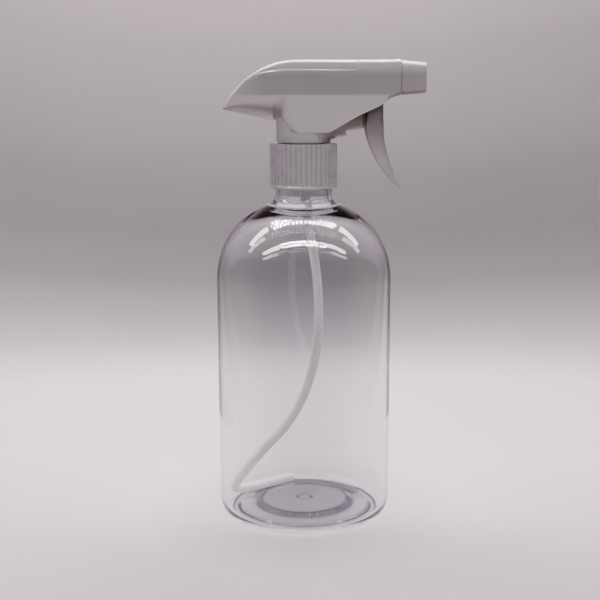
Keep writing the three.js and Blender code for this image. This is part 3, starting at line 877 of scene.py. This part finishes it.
def make_pump_body():
    stem = rounded([
        (0, STEM_BOTTOM_Z, 0),
        (STEM_R, STEM_BOTTOM_Z, 0.4),
        (STEM_R, FLANGE_Z, 0.2),
        (FLANGE_R, FLANGE_Z, 0.2),
        (FLANGE_R, FLANGE_Z + FLANGE_THICK, 0.2),
        (STEM_R, FLANGE_Z + FLANGE_THICK, 0.2),
        (STEM_R, COLUMN_BOTTOM_Z, 0.3),
        (COLUMN_R, COLUMN_BOTTOM_Z, 0.6),
        (COLUMN_R, 173.2, 0.3),
        (COLUMN_FLAT_Y, 173.7, 0.3),
        (COLUMN_FLAT_Y, COLUMN_TOP_Z, 0.5),
        (0, COLUMN_TOP_Z, 0),
    ])
    add = [
        bar(COLUMN_R, 172, COLUMN_TOP_Z - 4, segments=128),
        bar(RISER_R, COLUMN_TOP_Z - 1, BARREL_Z + RISER_R * 0.6),
        moved(bar(PUMP_R, -18, 0, soft=0.4, segments=96), ON_PUMP),
        moved(bar(BARREL_R, -RISER_R - 0.4, BARREL_END_X), ON_BARREL),
        block((1, -1.1, 187.5), (PIVOT_X - 1, 1.1, BARREL_Z - 2)),
        block((PIVOT_X - 2.5, -3.6, PIVOT_Z - 2.4), (PIVOT_X + 2.5, 3.6, BARREL_Z - 1.5)),
        moved(bar(PIVOT_STUB_R, -5.8, 5.8, soft=0.3, segments=48), ON_PIVOT),
    ]
    floor_r, back, front = BARREL_R - 0.6, *SEAL_GROOVE
    groove = rounded([
        (floor_r, back, 0.1), (BARREL_R + 1, back, 0), (BARREL_R + 1, front, 0), (floor_r, front, 0.1),
    ], closed=True, steps=3)
    inlet_at = Matrix.Translation((0, 0, INLET_PORT_Z)) @ Matrix.Rotation(math.pi / 2, 4, "Y")
    vent_at = Matrix.Translation((VENT_X, 0, 0))
    cut = [
        block((-20, -30, COLUMN_FLAT_Z), (20, -COLUMN_FLAT_Y, 186), soft=0),
        block((-20, COLUMN_FLAT_Y, COLUMN_FLAT_Z), (20, 30, 186), soft=0),
        bar(STEM_BORE_R, STEM_BOTTOM_Z - 1, STEM_BORE_TOP_Z, segments=48),
        bar(RISER_BORE_R, 168, BARREL_Z, soft=0, segments=32),
        moved(bar(PUMP_BORE_R, -PUMP_DEPTH, 1, segments=96), ON_PUMP),
        moved(bar(INLET_PORT_R, 0, 6, soft=0, segments=24), inlet_at),
        moved(bar(VENT_R, STEM_BOTTOM_Z - 1, 174, soft=0, segments=24), vent_at),
        moved(bar(1.8, 0, VALVE_SEAT_X, segments=32), ON_BARREL),
        moved(bar(VALVE_BORE_R, VALVE_SEAT_X, BARREL_END_X + 1, segments=48), ON_BARREL),
        moved(lathe(groove, 64), ON_BARREL),
    ]
    made = carved("pump_body_skin", lathe(stem, 128), add, cut)
    finish_piece(made, "pump_body", body_white_painted_shade)


def make_tube_retainer():
    socket_r = TUBE_R + 0.3
    turned("tube_retainer", [
        (0.9, 163.9, 0.2), (socket_r, 163.9, 0.2), (socket_r, 157.9, 0.3), (7.4, 157.9, 0.3),
        (7.4, 159.1, 0.3), (5, 159.1, 0.2), (5, 168.2, 0.4), (2, 168.2, 0.2), (2, 165.6, 0),
        (0.9, 165.1, 0.1),
    ], natural)


def make_inlet_ball():
    outline = [(max(0.0, u), v) for u, v in arc(0, 166.6, 1.6, 1.6, -math.pi / 2, math.pi / 2, 24)]
    piece("inlet_ball", lathe(outline, 48), steel)


# ---- pump ---------------------------------------------------------------------------------------

def make_piston():
    dome_centre = PISTON_NOSE - NOSE_DOME_R
    dome_edge = math.acos(PISTON_R / NOSE_DOME_R)
    dome = arc(0, dome_centre, NOSE_DOME_R, NOSE_DOME_R, dome_edge, math.pi / 2, 20)
    body = rounded([
        (0, 3.9, 0), (4.6, 3.9, 0.6), (4.6, PISTON_REAR, 0.2), (6.5, PISTON_REAR, 0.2), (6.5, -6.2, 0.2),
        (5.3, -6.2, 0.2), (5.3, -2.4, 0.2), (PISTON_R, -2.4, 0.2), dome[0] + (0,),
    ])
    outline = body + dome[1:-1] + [(0, PISTON_NOSE)]
    piece("piston", moved(lathe(outline, 96), ON_PUMP), piston_painted_shade)


def make_piston_seal():
    turned("piston_seal", [
        (5.6, -5.9, 0.15), (6.4, -5.9, 0.2), (6.9, -5.6, 0.1), (6.5, -4.9, 0.3), (6.5, -3.7, 0.3),
        (6.9, -3, 0.1), (6.4, -2.7, 0.2), (5.6, -2.7, 0.15),
    ], natural, ON_PUMP, segments=96, steps=3)


def make_return_spring():
    wire, pitch, turns = 0.45, 2.55, 6.2
    start = -PUMP_DEPTH + 0.75
    coil = tube(helix(3.8, start, pitch, turns), wire, 12)
    made = piece("return_spring", moved(coil, ON_PUMP), steel)
    anchor = place(ON_PUMP @ Vector((0, 0, start - wire)))
    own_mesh(made)


# ---- discharge ----------------------------------------------------------------------------------

def make_discharge_valve():
    turned("discharge_valve", [
        (0, 33.7, 0), (1.3, 34.3, 0.5), (2.1, 35.7, 0.4), (2.1, 37.1, 0.15), (1, 37.1, 0.1),
        (1, 39.6, 0.3), (0, 39.6, 0),
    ], natural, ON_BARREL, segments=48, closed=False)


def make_discharge_spring():
    wire, pitch, turns = 0.2, 0.9, 3.2
    start, travel = 37.65, 1.0
    coil = tube(helix(1.65, start, pitch, turns), wire, 10)
    made = piece("discharge_spring", moved(coil, ON_BARREL), steel)
    anchor = place((start + pitch * turns + wire, 0, BARREL_Z))
    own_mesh(made)


def make_orifice_insert():
    turned("orifice_insert", [
        (0.6, 41.2, 0.1), (2.2, 41.2, 0.3), (2.2, 46.9, 0.1), (3.9, 46.9, 0.2), (3.9, 48.2, 0.2),
        (1.6, 48.2, 0.1), (1.6, 49.7, 0.2), (0.6, 49.7, 0.1),
    ], natural, ON_BARREL, segments=48, steps=3)


def make_nozzle_seal():
    outline = arc(BARREL_R + 0.05, sum(SEAL_GROOVE) / 2, 0.35, 0.5, 0, TAU, 16)[:-1]
    piece("nozzle_seal", moved(lathe(outline, 64), ON_BARREL), natural)


# ---- nozzle cap ---------------------------------------------------------------------------------

def square_ring(x, half, corner, count=96):
    """A square with rounded corners about the barrel's axis."""
    points = []
    for k in range(count):
        angle = TAU * (k + 0.5) / count
        c, s = abs(math.cos(angle)), abs(math.sin(angle))
        flat = half - corner
        reach = half / max(c, s)
        if reach * min(c, s) > flat:
            # on the corner's arc: where the spoke meets a circle about the corner's centre
            b = flat * (c + s)
            reach = b + math.sqrt(max(0.0, b * b - 2 * flat * flat + corner * corner))
        points.append((x, reach * math.cos(angle), BARREL_Z + reach * math.sin(angle)))
    return points


def round_ring(x, radius, count=96):
    turns = [TAU * (k + 0.5) / count for k in range(count)]
    return [(x, radius * math.cos(a), BARREL_Z + radius * math.sin(a)) for a in turns]


def make_nozzle_cap():
    back, front = NOZZLE_BACK_X, NOZZLE_FRONT_X
    band_end, bevel_start = back + 2.3, front - 0.8
    outside = [  # x, half width, radius of the corners
        (back, 6.9, 2.2), (back + 0.1, 7.15, 2.35), (back + 0.35, 7.3, 2.4), (back + 1.0, 7.32, 2.4),
        (back + 2.1, 7.3, 2.4), (band_end, 7.16, 2.35), (mix(band_end, bevel_start, 0.33), 7.0, 2.3),
        (mix(band_end, bevel_start, 0.66), 6.78, 2.25), (bevel_start, 6.5, 2.2),
        (front - 0.38, 6.37, 2.1), (front - 0.1, 6.12, 1.95), (front, 5.8, 1.8),
    ]
    inside = [  # x and radius of the recess, of the orifice in its floor and of the bore behind it
        (front, 3.45), (front - 0.08, 3.25), (front - 0.3, 3.2), (front - 0.8, 3.15),
        (front - 0.9, 3.0), (front - 0.9, 0.9), (front - 1.0, 0.55), (front - 1.3, 0.5), (50.2, 0.5),
        (50.2, NOZZLE_BORE_R - 0.3), (49.9, NOZZLE_BORE_R), (back + 0.2, NOZZLE_BORE_R),
    ]
    rings = [round_ring(back, NOZZLE_BORE_R + 0.2)]
    rings += [square_ring(*ring) for ring in outside]
    rings += [round_ring(*ring) for ring in inside]
    piece("nozzle_cap", loft(rings, ends="join"), cover_white_painted_shade, crease=38)


# ---- trigger ------------------------------------------------------------------------------------

def bezier(points, t):
    """A point on a Bezier curve of any order."""
    points = [Vector(p) for p in points]
    while len(points) > 1:
        points = [a.lerp(b, t) for a, b in zip(points, points[1:])]
    return points[0]


def crossing(controls, axis, value):
    """Where a Bezier curve, which rises along the axis, reaches a value there."""
    low, high = 0.0, 1.0
    for _ in range(30):
        middle = (low + high) / 2
        if bezier(controls, middle)[axis] < value:
            low = middle
        else:
            high = middle
    return bezier(controls, (low + high) / 2)


LEVER_FRONT = [(42.8, 148.6), (35.6, 163), (34.9, 172)]  # a curve, and straighter above it
LEVER_FRONT_ABOVE = [(172, 34.9), (184, 34.6), (191.3, 35.0)]
LEVER_BACK = [(42.1, 148.6), (30.9, 158.2), (27, 173.6)]
LEVER_BACK_ABOVE = [(173.6, 27), (187.3, 28.4)]
LEVER_HALF_WIDTH = [(147, 5.2), (152, 6.6), (160, 7.6), (170, 7.5), (184, 6.2), (190, 5.7), (196, 5.7)]


def lever_front(z):
    if z < LEVER_FRONT_ABOVE[0][0]:
        return crossing(LEVER_FRONT, 1, z).x
    return along(LEVER_FRONT_ABOVE, z)


def lever_back(z):
    if z < LEVER_BACK_ABOVE[0][0]:
        return crossing(LEVER_BACK, 1, z).x
    return line(LEVER_BACK_ABOVE, z)


def lever_section(z):
    """A channel that is open at the back: a front wall between two flanges."""
    half = along(LEVER_HALF_WIDTH, z)
    front, back = lever_front(z), lever_back(z)
    depth = max(front - back, 0.4)
    wall = min(TRIGGER_WALL, 0.45 * depth)
    bend = min(1.8, 0.4 * depth)
    lip = min(0.4, 0.3 * wall)
    half_section = rounded([
        (front, 0, 0),
        (front, half, bend),
        (back, half, lip),
        (back, half - wall, lip),
        (front - wall, half - wall, min(bend, 0.45 * (depth - wall))),
        (front - wall, 0, 0),
    ], steps=8)
    crown = 0.35 * min(1.0, depth / 5)
    arched = [(x + crown * (1 - (y / half) ** 2), y, z) for x, y in half_section]
    mirrored = [(x, -y, z) for x, y, z in reversed(arched[1:-1])]
    return arched + mirrored


def make_trigger():
    heights = [TRIGGER_TIP_Z + 0.3 * k for k in range(1, 10)]
    heights += [mix(heights[-1] + 0.7, 196, k / 56) for k in range(57)]
    lever = loft([lever_section(z) for z in heights])
    # Seen from the side, the lever ends in round ears, and its back slopes away from them.
    side = arc(PIVOT_X, PIVOT_Z, EAR_R, EAR_R, 0, math.pi, 24)
    side += [
        (PIVOT_X - EAR_R, 187.3), (20, 173.6), (20, 140), (60, 140), (60, 184),
        (PIVOT_X + EAR_R + 0.6, 187),
    ]
    hole = moved(bar(PIVOT_STUB_R + 0.3, -9, 9, soft=0, segments=40), ON_PIVOT)
    window = block((PIVOT_X - 6, -EAR_INSIDE_Y, 186.5), (PIVOT_X + 6, EAR_INSIDE_Y, 198), soft=0)
    plate = block((28.8, -6.1, 175), (30.3, 6.1, 183))
    made = carved("trigger_skin", lever, add=[plate], cut=[window, hole], keep=[prism(side, 14)])
    finish_piece(made, "trigger", lever_white_painted_shade, crease=40)


# ---- cover --------------------------------------------------------------------------------------

TAIL_CURVE = [(-35.3, 184.2), (-29.2, 194.3), (-18.4, COVER_TOP_Z), (-3, COVER_TOP_Z)]
HALF_WIDTH = [
    (-35.3, 2.4), (-33, 5.2), (-28, 8), (-20, 10.6), (-12, 12.6), (-5, 13.1),
    (8, 13.1), (16, 11.7), (24, 9.9), (32, 8.3), (38, 7.6), (COVER_FRONT_X, 7.4),
]
TAIL_X = -35.3
TAIL_END_X = -13.0
KEEL = [(TAIL_X, 183), (TAIL_END_X, 178.2), (-11.6, 178.9)]
SIDE_EDGE = [
    (-11.6, 178.9), (-9.9, 179.6), (-8.5, 178.9), (-7.2, 177.3), (-4.8, 174.9), (-3.3, 173.8),
    (-1.8, 173.4), (10.4, 173.3), (12, 173.9), (17.8, 177), (24.4, 180.6), (32.8, 184.4),
    (38, 187.6), (COVER_FRONT_X, 188.9),
]
LEDGE = [(-22.5, 197.7), (-17, 199), (-10, 200), (-4, 200.15), (22.7, 199.95), (24.1, 203)]
TUCK_Z = 189.3  # the sides turn in below this height
OPENING_R = 12.3  # the hole for the column
OPENING_FRONT_X = 36.0
COVER_FLOOR_X = 37.5  # from here forwards the cover is closed underneath
COVER_HOLLOW_X = -32.2  # behind this the tail is solid
FRONT_EDGE = {COVER_FRONT_X - 0.1: 0.07, COVER_FRONT_X: 0.25}  # how far the last sections shrink


def cover_top(x):
    tail = crossing(TAIL_CURVE, 0, x).y if x < TAIL_CURVE[-1][0] else COVER_TOP_Z
    return tail + 0.35 * math.exp(-(((x - 40.9) / 0.8) ** 2))


def cover_bottom(x):
    return line(KEEL, x) if x < SIDE_EDGE[0][0] else along(SIDE_EDGE, x)


def cover_closed(x):
    return x <= -OPENING_R or x >= COVER_FLOOR_X


def side_turn_in(x):
    """How far the sides turn in towards their lower edge."""
    return 1.5 - 0.7 * smooth(14, 30, x)


def cover_opening(x):
    """Half the opening's width underneath: round behind the column, as wide as the cover before it."""
    if cover_closed(x):
        return 0.0
    width = along(HALF_WIDTH, x) - side_turn_in(x)
    if x < 0:
        width = min(width, math.sqrt(OPENING_R**2 - x * x))
    if x > OPENING_FRONT_X:
        share = (x - OPENING_FRONT_X) / (COVER_FLOOR_X - OPENING_FRONT_X)
        width *= math.sqrt(max(0.0, 1 - share * share))
    return width


def tail_share(x):
    """1 along the tail, 0 beside the column and in front of it."""
    return 1 - smooth(TAIL_END_X, -7, x)


def hull_share(x):
    """1 where the underside is a rounded hull, 0 where the sides just end."""
    return max(tail_share(x), smooth(35, COVER_FLOOR_X, x))


def cover_half_section(x, inset, start):
    """One side of the cover at x, from its lower edge or its keel up to the middle of the crown."""
    half = along(HALF_WIDTH, x) - inset
    top = cover_top(x) - inset
    start_y, start_z = start
    hull = hull_share(x)
    tail_rise = 0.42 * (top - start_z)
    side_rise = max(TUCK_Z - start_z, 1.5)
    rise = min(mix(side_rise, tail_rise, tail_share(x)), 0.62 * (top - start_z))
    points = []
    for k in range(17):
        u = k / 16
        bow_y = mix(start_y, half, u)
        bow_z = start_z + rise * u
        hull_y = start_y + (half - start_y) * math.sin(u * math.pi / 2)
        hull_z = start_z + rise * (1 - math.cos(u * math.pi / 2))
        points.append((mix(bow_y, hull_y, hull), mix(bow_z, hull_z, hull)))
    low = points[-1][1]
    corner = min(1.5, 0.6 * half, 0.45 * (top - low))
    straight = top - corner - low
    length = straight + corner * math.pi / 2

    def crown(distance):
        if distance < straight:
            return half, low + distance
        angle = (distance - straight) / corner
        return half - corner * (1 - math.cos(angle)), top - corner * (1 - math.sin(angle))

    ledge_z = line(LEDGE, x) - 0.3 * inset
    ledge_z = mix(ledge_z, 200, smooth(24.3, 30, x))
    if ledge_z < top - corner:
        ledge_at = ledge_z - low
    else:
        ledge_at = straight + corner * math.asin(clamp((ledge_z - top + corner) / corner))
    ledge_at = min(max(ledge_at, 0.3 * length), 0.86 * length)
    step = LEDGE_STEP * smooth(-22.5, -17, x) * (1 - smooth(23.9, 24.15, x))
    soft = 0.5 * step + 0.01
    points += [crown(ledge_at * k / 8) for k in range(1, 8)]
    points[-1] = crown(ledge_at - soft - 0.02)
    edge_y, edge_z = crown(ledge_at)
    for k in range(5):
        angle = k / 4 * math.pi / 2
        points.append((edge_y - soft * (1 - math.cos(angle)), edge_z - soft * (1 - math.sin(angle))))
    for k in range(13):
        y, z = crown(mix(ledge_at + 0.06, length, k / 12))
        points.append((y - step, z))
    flat_y = points[-1][0]
    points += [(flat_y * (1 - k / 5), top + 0.12 * (1 - (1 - k / 5) ** 2)) for k in range(1, 6)]
    return points


def cover_stations():
    stations = [TAIL_X + 0.05 + 0.35 * (k / 6) ** 2 for k in range(6)]
    spans = [
        (-34.9, TAIL_END_X, 0.55), (TAIL_END_X, -1, 0.35), (-1, 9, 0.8), (9, 13, 0.4), (13, 22.4, 0.8),
        (22.4, 24.6, 0.12), (24.6, OPENING_FRONT_X, 0.7), (OPENING_FRONT_X, COVER_FLOOR_X, 0.15),
        (COVER_FLOOR_X, COVER_FRONT_X - 0.25, 0.4),
    ]
    for low, high, pitch in spans:
        count = round((high - low) / pitch)
        stations += [mix(low, high, k / count) for k in range(count)]
    return stations + [COVER_FRONT_X - 0.25, COVER_FRONT_X - 0.1, COVER_FRONT_X]


def make_cover():
    """One moulded shell: an outer and an inner skin that meet at the rim of the opening underneath."""
    points, faces = [], []

    def add(x, section):
        start = len(points)
        points.extend((x, y, z) for y, z in section)
        return list(range(start, len(points)))

    def row(x, half_row):
        return add(x, half_row + [(-y, z) for y, z in reversed(half_row[:-1])])

    def strip(a, b):
        faces.extend((a[i], a[i + 1], b[i + 1], b[i]) for i in range(len(a) - 1))

    before = None
    for x in cover_stations():
        closed = cover_closed(x)
        hull = hull_share(x)
        shrink = FRONT_EDGE.get(x, 0.0)
        edge_y, edge_z = cover_opening(x), cover_bottom(x)
        inner_y = max(0.0, edge_y - COVER_WALL * (1 - hull))
        inner_z = edge_z + COVER_WALL * (1 if closed else hull)
        outer_start = (edge_y, edge_z + (shrink if closed else 0))
        outer = row(x, cover_half_section(x, shrink, outer_start))
        here = {"closed": closed, "outer": outer, "inner": None}
        if x > COVER_HOLLOW_X:
            bulge = 0.0 if closed else 0.16
            rim = []
            for share in (0.2, 0.8):
                y = max(0.0, mix(edge_y, inner_y, share) - bulge * hull)
                rim.append((y, mix(edge_z, inner_z, share) - bulge * (1 - hull)))
            inner = row(x, cover_half_section(x, COVER_WALL, (inner_y, inner_z)))
            here["inner"] = inner
            here["right"] = [outer[0], *add(x, rim), inner[0]]
            here["left"] = [outer[-1], *add(x, [(-y, z) for y, z in rim]), inner[-1]]
        if before is None:
            faces.append(tuple(outer[:-1]))
        else:
            strip(before["outer"], outer)
            if here["inner"] and before["inner"]:
                strip(before["inner"], here["inner"])
            elif here["inner"]:
                faces.append(tuple(here["inner"][:-1]))
            if not (closed and before["closed"]):
                strip(before["right"], here["right"])
                strip(before["left"], here["left"])
        before = here
    strip(before["outer"], before["inner"])
    used = sorted({i for face in faces for i in face})
    renumber = {old: new for new, old in enumerate(used)}
    made = ([points[i] for i in used], [tuple(renumber[i] for i in face) for face in faces])
    piece("shroud", made, cover_white_painted_shade, crease=38, merge=0.001)


# ---- dip tube -----------------------------------------------------------------------------------

def make_dip_tube():
    made = tube(curve_through(TUBE_ROUTE, 10), TUBE_R, 32, bore=TUBE_BORE_R)
    piece("dip_tube", made, milky, crease=60)


# ---- studio -------------------------------------------------------------------------------------

FLOOR_R = 0.34  # metres: the flat of the round studio
SWEEP_R = 0.40  # the curve up to its wall
WALL_TOP = 0.95
# Painted light and shade on the studio card, as brightness by metres from the middle.
CARD_PAINTED_LEVELS = [  # by metres from the middle, along the floor and up the wall
    (0.0, 0.80), (0.15, 0.86), (0.23, 0.86), (0.283, 0.68), (0.348, 0.42), (0.42, 0.28), (0.50, 0.18),
    (0.60, 0.155), (0.70, 0.185), (0.82, 0.28), (0.92, 0.38), (1.0, 0.55), (1.4, 0.60)]
LIGHT_COLOUR = (1.0, 0.89, 0.95)
LAMP_Z = 0.6
DARK_CARD_R = 0.165
DARK_CARD_TOP = 0.19


def stage_piece(name, points, faces, material):
    """A part of the studio, in metres in the frame."""
    mesh = bpy.data.meshes.new(name)
    mesh.from_pydata(points, [], faces)
    mesh.materials.append(material)
    made = bpy.data.objects.new(name, mesh)
    bpy.context.scene.collection.objects.link(made)
    return made


def stage_material():
    """Pale card with painted light and shade: palest on the floor round the bottle, with a faint mottle.
    """
    made, shader = new_material("studio_card", Roughness=0.8, Specular_IOR_Level=0.15)
    tree = made.node_tree
    x, y, z = axes_of(tree)
    shade = node_in(tree, "ShaderNodeValToRGB")
    elements = shade.color_ramp.elements
    while len(elements) < len(CARD_PAINTED_LEVELS):
        elements.new(0.5)
    for element, (distance, value) in zip(elements, CARD_PAINTED_LEVELS):
        element.position = distance / CARD_PAINTED_LEVELS[-1][0]
        element.color = (value, value, value, 1)
    sideways = x * 0.4
    outwards = math_node("SQRT", sideways * sideways + y * y) + z
    math_node("DIVIDE", outwards, CARD_PAINTED_LEVELS[-1][0]).drive(shade.inputs["Fac"])
    # A painted pool of light on the floor ends at straight edges before the bottle and beside it, and
    # widens behind it.
    aside = math_node("ABSOLUTE", x) - math_node("MAXIMUM", y, 0.0) * 0.5
    painted_pool = (1.0 - aside.gate(0.19, 0.25)) * y.gate(-0.27, -0.22)
    level = Field(tree, shade.outputs["Color"]) * painted_pool.ramp(0, 1, 0.2, 1.0)
    # Painted shade towards the front, and towards +X.
    level = level * y.ramp(-0.36, 0.06, 0.1, 1.0)
    level = level * grain(tree, 9, detail=2).spread(0.975, 1.0)
    level = level * (1.0 - x * 0.3)
    # Painted shadow round the bottle's foot.
    level = level * radius_of(tree).ramp(0.034, 0.085, 0.72, 1.0, "SMOOTHSTEP")
    colour = node_in(tree, "ShaderNodeCombineColor")
    for channel, cast in (("Red", 0.0), ("Green", 0.17), ("Blue", 0.07)):
        (level * (1.0 - level * cast)).drive(colour.inputs[channel])
    tree.links.new(colour.outputs["Color"], shader.inputs["Base Color"])
    return made


def make_stage():
    """A round floor that curves up into a wall on every side."""
    floor = [(FLOOR_R * k / 12, 0.0) for k in range(12)]
    sweep = arc(FLOOR_R, SWEEP_R, SWEEP_R, SWEEP_R, -math.pi / 2, 0, 16)
    wall_top = (FLOOR_R + SWEEP_R, WALL_TOP)
    studio = stage_piece("studio", *lathe([*floor, *sweep, wall_top], 96), stage_material())
    studio.data.polygons.foreach_set("use_smooth", [True] * len(studio.data.polygons))


def soft_light(name, middle, size, watts, tilt=0):
    """A soft panel that faces down, or is turned by tilt degrees to face +Y and up."""
    data = bpy.data.lights.new(name, "AREA")
    data.shape = "RECTANGLE"
    data.size, data.size_y = size
    data.energy = watts
    data.color = LIGHT_COLOUR
    light = bpy.data.objects.new(name, data)
    light.location = middle
    light.rotation_euler = (math.radians(tilt), 0, 0)
    light.visible_glossy = False  # the lamps stand in for it in reflections
    light.visible_transmission = False
    bpy.context.scene.collection.objects.link(light)


def lamp_material(name, strength, pitch):
    """Rows of small diodes, or an even glow if pitch is 0."""
    made = bpy.data.materials.new(name)
    made.use_nodes = True
    tree = made.node_tree
    tree.nodes.remove(tree.nodes["Principled BSDF"])
    glow = node_in(tree, "ShaderNodeEmission", Color=(*LIGHT_COLOUR, 1), Strength=strength)
    tree.links.new(glow.outputs[0], tree.nodes["Material Output"].inputs["Surface"])
    if pitch:
        x, y, _ = axes_of(tree)
        wave = math_node("SINE", x * (TAU / pitch)) * math_node("SINE", y * (TAU / (3 * pitch)))
        (wave.gate(0.6, 0.75) * strength).drive(glow.inputs["Strength"])
    return made


def lamp(name, low, high, material):
    """A flat lamp overhead that shows only in reflections."""
    (x0, y0), (x1, y1) = low, high
    corners = [(x0, y0, LAMP_Z), (x0, y1, LAMP_Z), (x1, y1, LAMP_Z), (x1, y0, LAMP_Z)]
    made = stage_piece(name, corners, [(0, 1, 2, 3)], material)
    made.visible_camera = False
    made.visible_diffuse = False
    made.visible_shadow = False


def dark_card(name, start, end):
    """A dark upright card behind the bottle that its edges reflect. Angles run from +Y towards -X."""
    turns = [math.radians(mix(start, end, k / 12)) for k in range(13)]
    feet = [(AXIS_X - DARK_CARD_R * math.sin(a), DARK_CARD_R * math.cos(a)) for a in turns]
    corners = [(x, y, z) for z in (0.001, DARK_CARD_TOP) for x, y in feet]
    faces = [(k, k + 1, k + 14, k + 13) for k in range(12)]
    material, shader = new_material(name, Roughness=0.9)
    tint(shader, grain(material.node_tree, 20), (0.012, 0.012, 0.014), (0.018, 0.018, 0.02))
    made = stage_piece(name, corners, faces, material)
    made.visible_camera = False
    made.visible_diffuse = False
    made.visible_transmission = False
    made.visible_shadow = False


def light_studio():
    world = bpy.data.worlds.new("studio_air")
    world.use_nodes = True
    background = world.node_tree.nodes["Background"]
    background.inputs["Color"].default_value = (*LIGHT_COLOUR, 1)
    background.inputs["Strength"].default_value = 0.12
    bpy.context.scene.world = world
    soft_light("panel", (0, 0.16, LAMP_Z + 0.02), (0.56, 0.2), 10.5)
    soft_light("front_panel", (0, -0.30, LAMP_Z + 0.02), (0.56, 0.1), 1.2)
    soft_light("floor_bounce", (0, -0.42, 0.06), (0.5, 0.12), 0.32, tilt=106)
    diodes = lamp_material("diodes", 900.0, 0.034)
    glow = lamp_material("glow", 40.0, 0.0)
    lamp("lamp", (-0.29, 0.01), (0.27, 0.15), diodes)
    lamp("front_lamp", (-0.30, -0.36), (0.28, -0.26), diodes)
    dark_card("card", 22, 84)
    dark_card("other_card", -26, -50)
    lamp("lamp_end", (-0.75, 0.03), (-0.33, 0.12), glow)
    lamp("lamp_other_end", (0.32, 0.03), (0.78, 0.12), glow)
    lamp("front_lamp_end", (-0.80, -0.36), (-0.33, -0.28), glow)
    lamp("front_lamp_other_end", (0.30, -0.31), (0.66, -0.25), glow)


def place_camera():
    data = bpy.data.cameras.new("camera")
    data.lens = 68.5
    data.sensor_width = 36.0
    camera = bpy.data.objects.new("camera", data)
    camera.location = (-0.0086, -0.5076, 0.1944)
    camera.rotation_euler = (math.radians(79.23), math.radians(0.18), 0)
    bpy.context.scene.collection.objects.link(camera)
    bpy.context.scene.camera = camera


# ---- the whole object ---------------------------------------------------------------------------

place_camera()
make_stage()
light_studio()
for make in (
    make_bottle, make_collar, make_gasket, make_pump_body, make_cover, make_trigger, make_piston,
    make_piston_seal, make_return_spring, make_tube_retainer, make_inlet_ball, make_dip_tube,
    make_discharge_valve, make_discharge_spring, make_orifice_insert, make_nozzle_seal, make_nozzle_cap,
):
    make()
